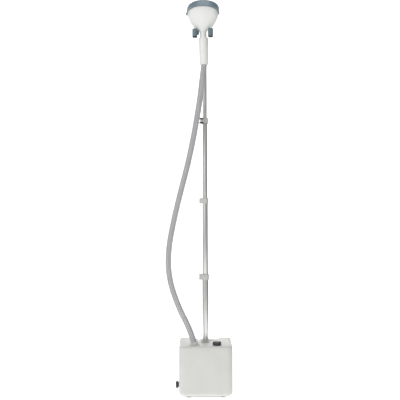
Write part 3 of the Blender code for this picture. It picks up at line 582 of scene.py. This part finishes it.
def weave(turn, run):
    """Height of the braid's surface: strands that cross on both diagonals, with low seams between."""
    one = np.mod(STRANDS * turn + run / DOT_PITCH, 1.0) - 0.5
    two = np.mod(STRANDS * turn - run / DOT_PITCH, 1.0) - 0.5
    return 0.00022 * np.cos(math.pi * one) * np.cos(math.pi * two) - 0.00030


def hose_mesh(name, line, at):
    """The whole hose as one open tube with its braid coordinates."""
    along = np.gradient(line, axis=0)
    along /= np.linalg.norm(along, axis=1)[:, None]
    across = np.cross(along, (0.0, 1.0, 0.0))
    across /= np.linalg.norm(across, axis=1)[:, None]
    front = np.cross(along, across)
    form = bmesh.new()
    layer = form.loops.layers.uv.new("braid")
    rows = []
    turn = np.arange(HOSE_SIDES) / HOSE_SIDES
    for i, centre in enumerate(line):
        radius = HOSE_RADIUS + weave(turn, at[i])
        ring = (
            centre
            + np.outer(radius * np.cos(2 * math.pi * turn), across[i])
            + np.outer(radius * np.sin(2 * math.pi * turn), front[i])
        )
        rows.append([form.verts.new(p) for p in ring])
    for i, (one, two) in enumerate(zip(rows, rows[1:])):
        for j in range(HOSE_SIDES):
            k = (j + 1) % HOSE_SIDES
            face = form.faces.new((one[j], one[k], two[k], two[j]))
            distances = (at[i], at[i], at[i + 1], at[i + 1])
            for loop, u, v in zip(face.loops, (j, j + 1, j + 1, j), distances):
                loop[layer].uv = (u / HOSE_SIDES, v)
    form.faces.new(rows[0][::-1])
    form.faces.new(rows[-1])
    mesh = bpy.data.meshes.new(name)
    form.to_mesh(mesh)
    form.free()
    return mesh


def hose_stretch(name, whole, low, high):
    """The part of the hose between two heights, cut level so that neighbouring stretches meet."""
    form = bmesh.new()
    form.from_mesh(whole)
    for height, way in ((low, -1), (high, 1)):
        if height is not None:
            everything = form.verts[:] + form.edges[:] + form.faces[:]
            bmesh.ops.bisect_plane(
                form, geom=everything, plane_co=(0, 0, height), plane_no=(0, 0, way), clear_outer=True
            )
    mesh = bpy.data.meshes.new(name)
    form.to_mesh(mesh)
    form.free()
    mesh.shade_smooth()
    mesh.set_sharp_from_angle(angle=math.radians(60.0))
    mesh.materials.append(MATERIALS["hose_braid"])
    thing = bpy.data.objects.new(name, mesh)
    bpy.context.scene.collection.objects.link(thing)
    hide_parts("steam_hose")
    return thing


def add_hose():
    """Four stretches of one hose: the lower three ride on the root and on the next two mast sections as the
    mast goes down, and the last rides on no body.
    """
    line, at = hose_line()
    whole = hose_mesh("hose_whole", line, at)
    low, top = HOSE_ROUTE[0][2], HOSE_ROUTE[-1][2]
    splits = [low + (LAST_SPLIT - low) * i / 3 for i in range(4)]
    for i, body in enumerate(("root", "mast_2", "mast_3", "mast_4")):
        start = None if i == 0 else splits[i]
        stop = splits[i + 1] if i < 3 else None
        thing = hose_stretch(f"hose_stretch_{i + 1}", whole, start, stop)
        if i < 3:
            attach(thing, body)
            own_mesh(thing)
        else:
            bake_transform(thing)
    bpy.data.meshes.remove(whole)


add_hose()


# --- base -------------------------------------------------

GAP = 0.0003
HALF_X, HALF_Y = 0.105, 0.1025
DECK_Z, SOLE_Z, WALL = 0.203, 0.006, 0.0026
CORNER, SOLE_ROUND, RIM_ROUND = 0.024, 0.020, 0.0095
REAR_CORNER, DECK_REAR = 0.008, 0.003
FOOT_SPREAD, SCREW_SPREAD = (0.066, 0.064), (0.074, 0.040)
BOILER, BOILER_RADIUS = Vector((-0.043, -0.063, 0.0)), 0.032
DRAIN_Z = 0.048
KNOB = Vector((0.044, -0.070, 0.0))
VALVE = Vector((0.010, 0.064, 0.0))
TANK_FRONT, TANK_BACK = 0.024, 0.1022
TANK_SIDES = ((-0.024, -0.044), (0.026, 0.064))
SOCKET_RADIUS = 0.0155


def around(spread):
    x, y = spread
    return [(-x, -y), (x, -y), (-x, y), (x, y)]


def plan_ring(half_x, half_y, corner, z, rear=None):
    return [(p.x, p.y, z) for p in rectangle(half_x, half_y, corner, 12, rear=rear)]


def base_side(wall):
    """(inset, height) up the housing's wall, from the round at the sole to the round at the rim."""
    low, high = SOLE_ROUND - wall, RIM_ROUND - wall
    out = []
    for k in range(13):
        angle = math.pi / 2 * k / 12
        out.append((wall + low * (1 - math.sin(angle)), SOLE_Z + wall + low * (1 - math.cos(angle))))
    for k in range(9):
        angle = math.pi / 2 * k / 8
        out.append((wall + high * (1 - math.cos(angle)), DECK_Z - wall - high * (1 - math.sin(angle))))
    return out


def base_rings(wall):
    rings = []
    for inset, z in base_side(wall):
        rear = max(REAR_CORNER - inset, 0.0015)
        rings.append(plan_ring(HALF_X - inset, HALF_Y - inset, CORNER - inset, z, rear))
    return rings


def tank_plan(grow, back, corner, steps=8):
    """The tank's plan, which widens towards the back, pushed out by grow."""
    sides = []
    for way, (near, far) in zip((-1, 1), TANK_SIDES):
        slope = (far - near) / (TANK_BACK - TANK_FRONT)
        push = way * grow * math.hypot(1.0, slope)
        sides.append([(near + slope * (y - TANK_FRONT) + push, y) for y in (TANK_FRONT - grow, back)])
    left, right = sides
    return eased([left[0], right[0], right[1], left[1]], corner, steps)


def tank_passage():
    return prism("passage", tank_plan(2 * GAP, 0.130, 0.0085), 0.027, 0.260, ease=0.0001)


def housing():
    """One thin shell with open deck and sole, cut for the tank, the drain cap and the mains gland."""
    deck_edge = [plan_ring(0.0942, 0.0917, 0.0142, DECK_Z, DECK_REAR)]
    deck_edge += [plan_ring(0.094, 0.0915, 0.014, DECK_Z - drop, DECK_REAR) for drop in (0.0003, WALL)]
    sole_edge = [plan_ring(0.082, 0.0795, 0.006, z) for z in (SOLE_Z + WALL, SOLE_Z)]
    rings = base_rings(0.0) + deck_edge + base_rings(WALL)[::-1] + sole_edge
    shell = as_object(skin(rings, loop=True), "base_housing.look")
    drain_hole = rod(0.0084, (-0.130, BOILER.y, DRAIN_Z), (-0.090, BOILER.y, DRAIN_Z))
    gland_hole = rod(0.0073, (-0.066, 0.090, 0.045), (-0.066, 0.120, 0.045))
    cut(shell, tank_passage(), drain_hole, gland_hole)
    for x, y in around(SCREW_SPREAD):
        side = math.copysign(1.0, x)
        near, far = sorted((x - side * 0.008, side * 0.1035))
        boss = boxed((near, y - 0.006, 0.014), (far, y + 0.006, 0.030), 0.001)
        pilot = rod(0.0021, (x, y, 0.010), (x, y, 0.040))
        join(shell, cut(boss, pilot))
    piece(shell, "base_housing")


def deck():
    outline = rectangle(0.0937, 0.0912, 0.0137, 12, rear=DECK_REAR - GAP)
    panel = prism("top_deck.look", outline, 0.1990, 0.2028, ease=0.0003)
    flange = prism("flange", rectangle(0.0952, 0.0927, 0.0149, 12), 0.1975, 0.2001, ease=0.0003)
    join(panel, flange)
    socket_hole = rod(SOCKET_RADIUS + 0.0004, (0, 0, 0.190), (0, 0, 0.220), 72)
    hose_hole = rod(0.0175, (-0.0425, BOILER.y, 0.190), (-0.0425, BOILER.y, 0.220), 72)
    shaft_hole = rod(0.0036, (KNOB.x, KNOB.y, 0.190), (KNOB.x, KNOB.y, 0.220))
    piece(cut(panel, socket_hole, hose_hole, shaft_hole, tank_passage()), "top_deck")


def underside():
    # The plate stands 3 mm below the housing, and its dark grey is partly a painted shadow along the bottom
    # edge.
    plate = prism("bottom_plate.look", rectangle(0.0817, 0.0792, 0.0057, 8), 0.003, 0.0086, ease=0.0008)
    holes = [rod(0.0044, (x, y, -0.001), (x, y, 0.019)) for x, y in around(FOOT_SPREAD)]
    for x, y in around(SCREW_SPREAD):
        holes.append(rod(0.0042, (x, y, -0.001), (x, y, 0.0058)))
        holes.append(rod(0.0022, (x, y, 0.002), (x, y, 0.019)))
    piece(cut(plate, *holes), "bottom_plate")
    foot = [(0.0040, 0.0078), (0.0040, 0.0026), (0.0100, 0.0026), (0.0100, 0.0), (0.0060, 0.0)]
    screw = [(0.0006, 0.0260), (0.0018, 0.0250), (0.0018, 0.0054), (0.0037, 0.0054), (0.0037, 0.0034)]
    screw.append((0.0020, 0.0034))
    for i, (x, y) in enumerate(around(FOOT_SPREAD), 1):
        piece(lathe(f"foot_{i}.look", foot, (x, y, 0), 40, 0.0006, loop=False), f"foot_{i}")
    for i, (x, y) in enumerate(around(SCREW_SPREAD), 1):
        thing = lathe(f"base_screw_{i}.look", screw, (x, y, 0), 32, 0.0003, loop=False)
        for a, b in ((0.0022, 0.0004), (0.0004, 0.0022)):
            cut(thing, boxed((x - a, y - b, 0.002), (x + a, y + b, 0.0046), 0.0002))
        piece(thing, f"base_screw_{i}")


def deck_fittings():
    """Socket for the mast, leaning collar for the hose, and the steam knob."""
    bore = TUBE_RADII[0] + GAP
    socket = [(bore, 0.0600), (bore, 0.2062), (0.0178, 0.2062), (0.0178, 0.2031)]
    socket += [(SOCKET_RADIUS, 0.2031), (SOCKET_RADIUS, 0.0560)]
    piece(lathe("pole_socket.look", socket, steps=96, ease=0.0007, loop=False), "pole_socket")
    start = Vector(HOSE_ROUTE[0])
    lean = Matrix.Translation(start) @ Matrix.Rotation(math.radians(-HOSE_LEAN), 4, "Y")
    ring = [(0.0205, 0.2058), (0.0205, 0.2031), (0.0130, 0.2031), (0.0130, 0.2058)]
    collar = lathe("hose_collar.look", ring, (-0.0440, start.y, 0), 96, 0.0007)
    sleeve = [(0.0142, 0.0140), (0.0160, 0.0010), (0.0100, 0.0010), (0.0100, 0.0140)]
    join(collar, moved(lathe("sleeve", sleeve, steps=96, ease=0.0007), lean))
    hose_bore = moved(rod(HOSE_RADIUS + 0.0005, (0, 0, -0.020), (0, 0, 0.040), 72), lean)
    piece(cut(collar, hose_bore), "hose_collar")

    low, high, radius = 0.2036, 0.2166, 0.0170

    def knurl(bearing, height):
        return 1 - 0.030 * max(0.0, math.cos(24 * bearing)) if low + 0.001 < height < high - 0.002 else 1.0

    side = [(0.0150, low), (radius, low), (radius, low + 0.0015), (radius - 0.0003, high - 0.0035)]
    side += [(radius - 0.0012, high), (radius - 0.006, high)]
    knob = lathe("control_knob.look", side, KNOB, 192, 0.0006, loop=False, flute=knurl)
    x, y = KNOB.xy
    pointer = boxed((x - 0.0011, y - 0.0150, high - 0.002), (x + 0.0011, y - 0.0020, high + 0.0008), 0.0005)
    socket_bore = rod(0.0033, (KNOB.x, KNOB.y, 0.190), (KNOB.x, KNOB.y, 0.2112))
    piece(cut(join(knob, pointer), socket_bore), "control_knob")


def wall_fittings():
    """Fluted drain cap on the left wall, and the gland for the mains cord on the rear wall."""
    leftwards = Matrix.Translation((0, BOILER.y, DRAIN_Z)) @ Matrix.Rotation(-math.pi / 2, 4, "Y")
    rearwards = Matrix.Translation((-0.066, HALF_Y, 0.045)) @ Matrix.Rotation(-math.pi / 2, 4, "X")
    face = HALF_X + 0.0023

    def fluted(bearing, height):
        return 1 - 0.035 * max(0.0, math.cos(18 * bearing)) if face + 0.001 < height < face + 0.008 else 1.0

    cap = [(0.0060, HALF_X + 0.0128), (0.0100, HALF_X + 0.0128), (0.0136, HALF_X + 0.0112)]
    cap += [(0.0136, face), (0.0046, face), (0.0046, HALF_X - 0.0110), (0.0030, HALF_X - 0.0125)]
    body = lathe("drain_cap.look", cap, steps=144, ease=0.0009, loop=False, flute=fluted)
    piece(moved(body, leftwards), "drain_cap")
    seal = tube("drain_seal.look", 0.0092, 0.0050, HALF_X + GAP, HALF_X + 0.0020, steps=48)
    piece(moved(seal, leftwards), "drain_seal")
    pipe = tube("drain_pipe.look", 0.0080, 0.0050, 0.0754, HALF_X - 0.0002, steps=48)
    piece(moved(pipe, leftwards), "drain_pipe")
    gland = [(0.0085, 0.0078), (0.0100, 0.0060), (0.0100, 0.0003), (0.0070, 0.0003)]
    gland += [(0.0070, -0.0080), (0.0038, -0.0080), (0.0038, 0.0078)]
    piece(moved(lathe("mains_gland.look", gland, steps=64, ease=0.0005), rearwards), "mains_gland")


def tank():
    """Bay and lift-out tank, whose grip bar crosses a finger well, with the threaded neck underneath."""
    back = HALF_Y - WALL - 0.0016
    bay = prism("tank_bay.look", tank_plan(0.0028, back, 0.004), 0.024, 0.1972, ease=0.0003)
    room = prism("room", tank_plan(2 * GAP, 0.130, 0.003), 0.027, 0.260, ease=0.0001)
    piece(cut(bay, room, rod(0.0036, (0.026, 0.064, 0.010), (0.026, 0.064, 0.040))), "tank_bay")

    body = prism("water_tank.look", tank_plan(0.0, TANK_BACK, 0.008), 0.044, 0.196, ease=0.002, steps=5)
    hollow = prism("hollow", tank_plan(-0.0025, TANK_BACK - 0.0025, 0.0055), 0.0465, 0.1935, ease=0.001)
    cut(hollow, boxed((-0.0205, 0.0475, 0.1695), (0.0445, 0.0885, 0.2225), 0.0085))
    cut(body, hollow, boxed((-0.018, 0.050, 0.172), (0.042, 0.086, 0.220), 0.006, 0.001))
    grip = boxed((-0.020, 0.0625, 0.1865), (0.044, 0.0735, 0.1945), 0.0020, 0.0015)
    neck = tube("neck", 0.0150, 0.0115, 0.0360, 0.0560, VALVE)
    join(body, grip, neck)
    cut(body, rod(0.0115, (VALVE.x, VALVE.y, 0.030), (VALVE.x, VALVE.y, 0.052), 72))
    x, y = VALVE.xy
    bar = boxed((x - 0.013, y - 0.002, 0.0527), (x + 0.013, y + 0.002, 0.0555), 0.0005)
    piece(join(body, bar), "water_tank")


def coil(name, centre, radius, wire, low, high, turns):
    """A coil spring: its wire's sections, one after another up the helix."""
    steps, sides = 48 * turns, 12
    rings = []
    for i in range(steps + 1):
        angle = 2 * math.pi * turns * i / steps
        height = low + (high - low) * i / steps
        ring = []
        for j in range(sides):
            turn = 2 * math.pi * j / sides
            r = radius + wire * math.cos(turn)
            x, y = centre.x + r * math.cos(angle), centre.y + r * math.sin(angle)
            ring.append((x, y, height + wire * math.sin(turn)))
        rings.append(ring)
    return as_object(skin(rings), name)


def inner_parts():
    """What stands inside the base and the handset, seen only when it is opened up."""
    r = BOILER_RADIUS
    cup = [(r - 0.004, 0.0400), (r - 0.004, 0.1100), (r + 0.003, 0.1100), (r + 0.003, 0.1060)]
    cup += [(r, 0.1040), (r, 0.0360), (r - 0.006, 0.0360)]
    lid = [(0.0060, 0.1360), (0.0060, 0.1215), (0.0290, 0.1200), (r, 0.1143), (r + 0.003, 0.1143)]
    lid += [(r + 0.003, 0.1103), (0.0035, 0.1103), (0.0035, 0.1360)]
    dome = [(0.0040, 0.1300), (0.0055, 0.1300), (0.0055, 0.1250), (0.0075, 0.1250), (0.0075, 0.1218)]
    pill = [(0.0010, 0.1330), (0.0028, 0.1320), (0.0028, 0.1226), (0.0010, 0.1218)]
    valve_cap = [(0.0190, 0.0434), (0.0190, 0.0300), (0.0055, 0.0300), (0.0055, 0.0330)]
    valve_cap += [(0.0154, 0.0330), (0.0154, 0.0434)]
    plunger = [(0.0020, 0.0460), (0.0030, 0.0460), (0.0030, 0.0400), (0.0085, 0.0400)]
    plunger += [(0.0085, 0.0380), (0.0025, 0.0380), (0.0025, 0.0274), (0.0015, 0.0274)]
    seat = [(0.0088, 0.0377), (0.0088, 0.0362), (0.0060, 0.0362), (0.0060, 0.0377)]
    steam = [(0.0080, 0.1940), (0.0080, 0.1240), (0.0063, 0.1240), (0.0063, 0.1940)]
    for node, profile, centre, loop in (
        ("boiler_body", cup, BOILER, False),
        ("boiler_cover", lid, BOILER, True),
        ("steam_pipe", steam, BOILER, True),
        ("thermostat", dome, BOILER + Vector((0.0175, 0.0, 0.0)), False),
        ("thermal_fuse", pill, BOILER + Vector((-0.010, 0.014, 0.0)), False),
        ("tank_valve_cap", valve_cap, VALVE, True),
        ("tank_valve_plunger", plunger, VALVE, False),
        ("tank_valve_seal", seat, VALVE, True),
    ):
        piece(lathe(f"{node}.look", profile, centre, 64, 0.0004, loop), node)
    low, high = 0.0411, 0.0516
    spring = coil("tank_valve_spring.look", VALVE, 0.0050, 0.0005, low, high, 4)
    piece(spring, "tank_valve_spring")
    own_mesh(spring)


# --- mast -------------------------------------------------

TUBE_WALL = 0.0010
CLAMP_Z = (0.463, 0.767, 1.086)
CLAMP_HEIGHTS = (0.024, 0.022, 0.024)
CLAMP_TURNS = (0.0, 0.0, 24.0)


def mast_tubes():
    for i, (radius, (low, high)) in enumerate(zip(TUBE_RADII, TUBE_SPANS), 1):
        thing = tube(f"mast_tube_{i}.look", radius, radius - TUBE_WALL, low, high, steps=96)
        piece(thing, f"mast_tube_{i}")


def lever_plan(inner, outer, start, end, steps=40):
    """Plan of a curved plate about the tube between two bearings, with a round free end."""
    bearings = [math.radians(start + (end - start) * i / steps) for i in range(steps + 1)]
    rim = [(outer * math.cos(a), outer * math.sin(a)) for a in bearings]
    middle, half, last = (inner + outer) / 2, (outer - inner) / 2, bearings[-1]
    for k in range(1, 8):
        swing = math.pi * k / 8
        out, on = middle + half * math.cos(swing), half * math.sin(swing)
        rim.append((out * math.cos(last) - on * math.sin(last), out * math.sin(last) + on * math.cos(last)))
    return rim + [(inner * math.cos(a), inner * math.sin(a)) for a in reversed(bearings)]


def clamp(i):
    """A split collar with two ears, and a lever on an upright pin that wraps round its front."""
    z, half = CLAMP_Z[i], CLAMP_HEIGHTS[i] / 2
    lower, upper = TUBE_RADII[i] + GAP, TUBE_RADII[i + 1] + GAP
    outer = TUBE_RADII[i] + 0.0026
    turn = Matrix.Rotation(math.radians(CLAMP_TURNS[i]), 4, "Z")
    pin_x, pin_y = -(outer + 0.0062), -0.0040
    step = TUBE_SPANS[i][1] + GAP
    profile = [(outer, z + half), (outer, z - half), (lower, z - half), (lower, step)]
    profile += [(upper, step), (upper, z + half)]
    collar = lathe(f"clamp_collar_{i + 1}.look", profile, steps=96, ease=0.0006)
    for side in (-1, 1):
        low, high = sorted((z + side * half * 0.42, z + side * (half - 0.0005)))
        ear = boxed((pin_x - 0.0042, pin_y - 0.0042, low), (0.0020 - outer, pin_y + 0.0100, high), 0.0035)
        join(collar, ear)
    bore = rod(0.0017, (pin_x, pin_y, z - 0.03), (pin_x, pin_y, z + 0.03))
    slit = boxed((-0.040, 0.0010, z - 0.03), (0.0020 - TUBE_RADII[i], 0.0026, z + 0.03), 0.0002)
    cut(collar, bore, slit)
    piece(moved(collar, turn), f"clamp_collar_{i + 1}")

    reach = half * 0.42 - GAP
    inner_r, outer_r = outer + 0.0006, outer + 0.0036
    start = 180 + math.degrees(math.asin(0.0088 / inner_r))
    joint = math.radians(start + 5)
    plan = lever_plan(inner_r, outer_r, start, 300)
    lever = prism(f"clamp_lever_{i + 1}.look", plan, z - half + 0.0008, z + half - 0.0008, ease=0.0007)
    web_plan = [(pin_x - 0.0036, pin_y)]
    web_plan += [(r * math.cos(joint), r * math.sin(joint)) for r in (outer_r, inner_r)]
    web_plan.append((pin_x + 0.0036, pin_y))
    web = prism("web", web_plan, z - reach, z + reach, ease=0.0002)
    knuckle = rod(0.0038, (pin_x, pin_y, z - reach), (pin_x, pin_y, z + reach))
    join(lever, web, knuckle)
    room = rod(inner_r, (0, 0, z - 0.03), (0, 0, z + 0.03), 96)
    above = rod(0.0048, (pin_x, pin_y, z + reach), (pin_x, pin_y, z + 0.03))
    below = rod(0.0048, (pin_x, pin_y, z - 0.03), (pin_x, pin_y, z - reach))
    pin_bore = rod(0.0017, (pin_x, pin_y, z - 0.03), (pin_x, pin_y, z + 0.03))
    cut(lever, room, above, below, pin_bore)
    piece(moved(lever, turn), f"clamp_lever_{i + 1}")
    pin = [(0.0008, z - half + 0.0006), (0.0013, z - half + 0.0011), (0.0013, z + half - 0.0011)]
    pin.append((0.0008, z + half - 0.0006))
    pin = lathe(f"clamp_pin_{i + 1}.look", pin, (pin_x, pin_y, 0), 32, loop=False)
    piece(moved(pin, turn), f"clamp_pin_{i + 1}")


# --- cradle and handset -----------------------------------

HANDSET_Y, NECK_Z = -0.045, 1.428
TURN = Matrix.Rotation(math.radians(-7.0), 4, "Z")
LEAN = Matrix.Translation((0, HANDSET_Y, NECK_Z)) @ Matrix.Rotation(math.radians(-1.0), 4, "Y")
LEAN = LEAN @ Matrix.Translation((0, 0, -NECK_Z))
PRONG_X, PRONG_Y, PRONG_RADIUS = 0.0310, -0.0640, 0.0102
LIP_Y = -0.0490
PRONG_SPAN = (1.4105, 1.4415)
SHELL_WALL = 0.0024
HEAD_Z, HEAD_TILT = 1.503, 28.0
# From the handle's end to the head's rim: height, half width, half depth, tilt
SHELL = (
    (1.306, 0.0177, 0.0172, 0.0),
    (1.340, 0.0181, 0.0175, 0.0),
    (1.380, 0.0189, 0.0182, 0.0),
    (1.402, 0.0194, 0.0186, 0.0),
    (1.408, 0.0183, 0.0176, 0.0),
    (1.412, 0.0138, 0.0140, 0.0),
    (1.430, 0.0136, 0.0140, 0.0),
    (1.440, 0.0225, 0.0150, 6.0),
    (1.449, 0.0360, 0.0185, 12.0),
    (1.460, 0.0437, 0.0235, 18.0),
    (1.475, 0.0522, 0.0315, 23.0),
    (1.490, 0.0585, 0.0395, 26.0),
    (HEAD_Z, 0.0615, 0.0460, HEAD_TILT),
)
# Round the head's rim, from the lip up the skirt and down the inside: half width, half depth, rise
BONNET_SKIRT = ((0.0670, 0.0515, -0.003), (0.0655, 0.0500, 0.005), (0.0648, 0.0492, 0.024))
BONNET_REST = (
    (0.0630, 0.0474, 0.030),
    (0.0600, 0.0444, 0.033),
    (0.0578, 0.0424, 0.033),
    (0.0578, 0.0424, 0.0265),
    (0.0500, 0.0346, 0.0265),
    (0.0500, 0.0346, 0.0225),
    (0.0620, 0.0464, 0.020),
    (0.0632, 0.0476, -0.003),
)
HOLE_RING, HOLE_COUNT = (0.038, 0.024), 10
BONNET_SIDES, BONNET_RIBS = 480, 96
SKIRT_STEPS, SKIRT_GROOVES = 40, 5
LIP_CUT = 0.80


def oval_point(angle, height, wide, deep, tilt, rise):
    sine, cosine = math.sin(math.radians(tilt)), math.cos(math.radians(tilt))
    x, v = wide * math.cos(angle), deep * math.sin(angle)
    return (x, v * cosine + rise * sine, height - v * sine + rise * cosine)


def oval(height, wide, deep, tilt, rise=0.0, steps=120):
    """One section of the handset, leaning back by its tilt, rise above its centre along the tilt."""
    return [oval_point(2 * math.pi * i / steps, height, wide, deep, tilt, rise) for i in range(steps)]


def shell_rings(inset):
    """Sections of the shell up to the head's rim, and its collar inside the bonnet."""
    sections = catmull([Vector(section) for section in SHELL], 5)
    rings = [oval(z, wide - inset, deep - inset, tilt) for z, wide, deep, tilt in sections]
    wide, deep = SHELL[-1][1] - inset, SHELL[-1][2] - inset
    return rings + [oval(HEAD_Z, wide, deep, HEAD_TILT, rise) for rise in (0.007, 0.014, 0.0195)]


def head_room():
    """Solid that clears the head's flare out of the cradle and the prongs."""
    rings = [oval(z - 0.0010, wide + 0.0012, deep + 0.0012, tilt) for z, wide, deep, tilt in SHELL[6:10]]
    return moved(as_object(skin(rings), "head_room"), LEAN)


def cradle():
    """Cap on the mast's top, a crossbar behind the handset's neck, and an arm and lip to each prong."""
    bore = TUBE_RADII[3] + GAP
    cap = [(0.0060, 1.4440), (0.0125, 1.4440), (0.0125, 1.3920), (bore, 1.3920), (bore, 1.4385)]
    body = lathe("cradle_body.look", cap, steps=96, ease=0.0010, loop=False)
    join(body, boxed((-0.038, -0.024, 1.4160), (0.038, -0.011, 1.4340), 0.004, 0.0012))
    rooms = [head_room(), rod(bore, (0, 0, 1.380), (0, 0, 1.4385), 96)]
    for side, name in ((-1, "left"), (1, "right")):
        x = side * PRONG_X
        arm = boxed((x - 0.0065, PRONG_Y, 1.4180), (x + 0.0065, -0.0180, 1.4320), 0.001, 0.0012)
        near, far = sorted((side * 0.0156, x))
        lip = boxed((near, LIP_Y - 0.006, 1.4205), (far, LIP_Y + 0.006, 1.4370), 0.0015, 0.0010)
        join(body, arm, lip)
        rooms.append(rod(PRONG_RADIUS + GAP, (x, PRONG_Y, 1.400), (x, PRONG_Y, 1.460), 72))
        low, high = PRONG_SPAN
        side_line = [(0.0060, low), (PRONG_RADIUS, low), (PRONG_RADIUS, high - 0.0008), (0.0080, high)]
        side_line += [(0.0040, high + 0.0005), (0.0010, high + 0.0006)]
        prong = lathe(f"prong_{name}.look", side_line, (x, PRONG_Y, 0), 96, 0.0007, loop=False)
        cut(prong, head_room())
        piece(moved(prong, TURN), f"prong_{name}")
        foot = [(0.0060, 1.4102), (0.0096, 1.4102), (0.0096, 1.4068), (0.0050, 1.4068)]
        buffer = lathe(f"prong_buffer_{name}.look", foot, (x, PRONG_Y, 0), 96, 0.0011, loop=False)
        piece(moved(buffer, TURN), f"prong_buffer_{name}")
    piece(moved(cut(body, *rooms), TURN), "cradle_body")


def handset_shells():
    """Front and rear halves of one shell, which meet at the side seams."""
    seam = 0.5 * GAP
    for name, low, high in (("handset_rear", -0.2, seam), ("handset_front", -seam, 0.2)):
        rings = shell_rings(0.0) + shell_rings(SHELL_WALL)[::-1]
        shell = as_object(skin(rings, loop=True), f"{name}.look")
        cut(shell, boxed((-0.2, low, 1.25), (0.2, high, 1.65), 0.0, 0.0))
        if name == "handset_front":
            cut(shell, boxed((-0.0043, -0.0300, 1.4302), (0.0043, -0.0128, 1.4314), 0.0003, 0.0001))
        piece(moved(shell, TURN @ LEAN), name)


def skirt(t):
    """Half width, half depth and rise at a share of the way up the bonnet's skirt."""
    lip, swell, top = BONNET_SKIRT
    rise = lip[2] + (top[2] - lip[2]) * t
    first, second = (lip, swell) if rise < swell[2] else (swell, top)
    share = (rise - first[2]) / (second[2] - first[2])
    return [p + (q - p) * share for p, q in zip(first, second)]


def lip_lift(angle):
    """How far the lip is cut back on the head's far side, where the shell's own rim shows instead."""
    return LIP_CUT * max(0.0, math.sin(angle)) ** 0.7


def bonnet():
    """Ring round the head, its skirt cut by fine upright ribs and level grooves."""
    angles = [2 * math.pi * i / BONNET_SIDES for i in range(BONNET_SIDES)]
    rings = []
    for k in range(SKIRT_STEPS + 1):
        t = k / SKIRT_STEPS
        ribbed = 0.08 < t < 0.97
        groove = 0.0004 * (0.5 + 0.5 * math.cos(2 * math.pi * SKIRT_GROOVES * t)) ** 4
        ring = []
        for angle in angles:
            lift = lip_lift(angle)
            wide, deep, rise = skirt(lift + (1 - lift) * t)
            rib = 0.0003 * (0.5 + 0.5 * math.cos(BONNET_RIBS * angle))
            inset = rib + groove if ribbed else 0.0
            ring.append(oval_point(angle, HEAD_Z, wide - inset, deep - inset, HEAD_TILT, rise))
        rings.append(ring)
    rest = eased([*BONNET_SKIRT[-1:], *BONNET_REST, *BONNET_SKIRT[:1]], 0.0010, 3, closed=False)[1:-1]
    floor = rest[-1].z
    for wide, deep, rise in rest:
        ring = []
        for angle in angles:
            near_lip = max(0.0, (0.019 - rise) / (0.019 - floor))
            lift = near_lip * lip_lift(angle) * (BONNET_SKIRT[-1][2] - BONNET_SKIRT[0][2])
            ring.append(oval_point(angle, HEAD_Z, wide, deep, HEAD_TILT, rise + lift))
        rings.append(ring)
    shell = as_object(skin(rings, loop=True), "bonnet.look")
    piece(moved(shell, TURN @ LEAN), "bonnet")


def steam_face():
    gasket = ((0.0560, 0.0406, 0.0268), (0.0560, 0.0406, 0.0281))
    gasket += ((0.0515, 0.0361, 0.0281), (0.0515, 0.0361, 0.0268))
    rings = [oval(HEAD_Z, w, d, HEAD_TILT, rise) for w, d, rise in gasket]
    piece(moved(as_object(skin(rings, loop=True), "plate_gasket.look"), TURN @ LEAN), "plate_gasket")
    edge = ((0.0574, 0.0420, 0.0284), (0.0574, 0.0420, 0.0298))
    edge += ((0.0571, 0.0417, 0.0303), (0.0562, 0.0408, 0.0308))
    rings = [oval(HEAD_Z, w, d, HEAD_TILT, rise) for w, d, rise in edge]
    disc = as_object(skin(rings), "steam_plate.look")
    tilt = Matrix.Translation((0, 0, HEAD_Z)) @ Matrix.Rotation(math.radians(-HEAD_TILT), 4, "X")
    holes = []
    for i in range(HOLE_COUNT):
        angle = 2 * math.pi * i / HOLE_COUNT
        x, y = HOLE_RING[0] * math.cos(angle), HOLE_RING[1] * math.sin(angle)
        holes.append(moved(rod(0.0020, (x, y, 0.020), (x, y, 0.040), 24), tilt))
    piece(moved(cut(disc, *holes), TURN @ LEAN), "steam_plate")


def handle_end():
    ferrule = [(0.0136, 1.3200), (0.0136, 1.3057), (0.0172, 1.3057), (0.0172, 1.3020)]
    ferrule += [(HOSE_RADIUS + 0.0006, 1.3020), (HOSE_RADIUS + 0.0006, 1.3200)]
    collar = lathe("handle_ferrule.look", ferrule, steps=96, ease=0.0006)
    piece(moved(collar, TURN @ LEAN), "handle_ferrule")
    hose_end = tube("steam_tube.look", 0.0060, 0.0045, 1.3180, 1.4780, steps=48)
    piece(moved(hose_end, TURN @ LEAN), "steam_tube")


housing()
deck()
underside()
deck_fittings()
wall_fittings()
tank()
inner_parts()
mast_tubes()
for number in range(3):
    clamp(number)
cradle()
handset_shells()
bonnet()
steam_face()
handle_end()


def paint_cad_nodes():
    """Each CAD node that still shows takes the finish of its slot in the record."""
    for row in frame["record"]["subparts"]:
        node = frame["nodes"][row["node"]]
        node.data.materials.clear()
        node.data.materials.append(MATERIALS[row["material_slot"]])


paint_cad_nodes()
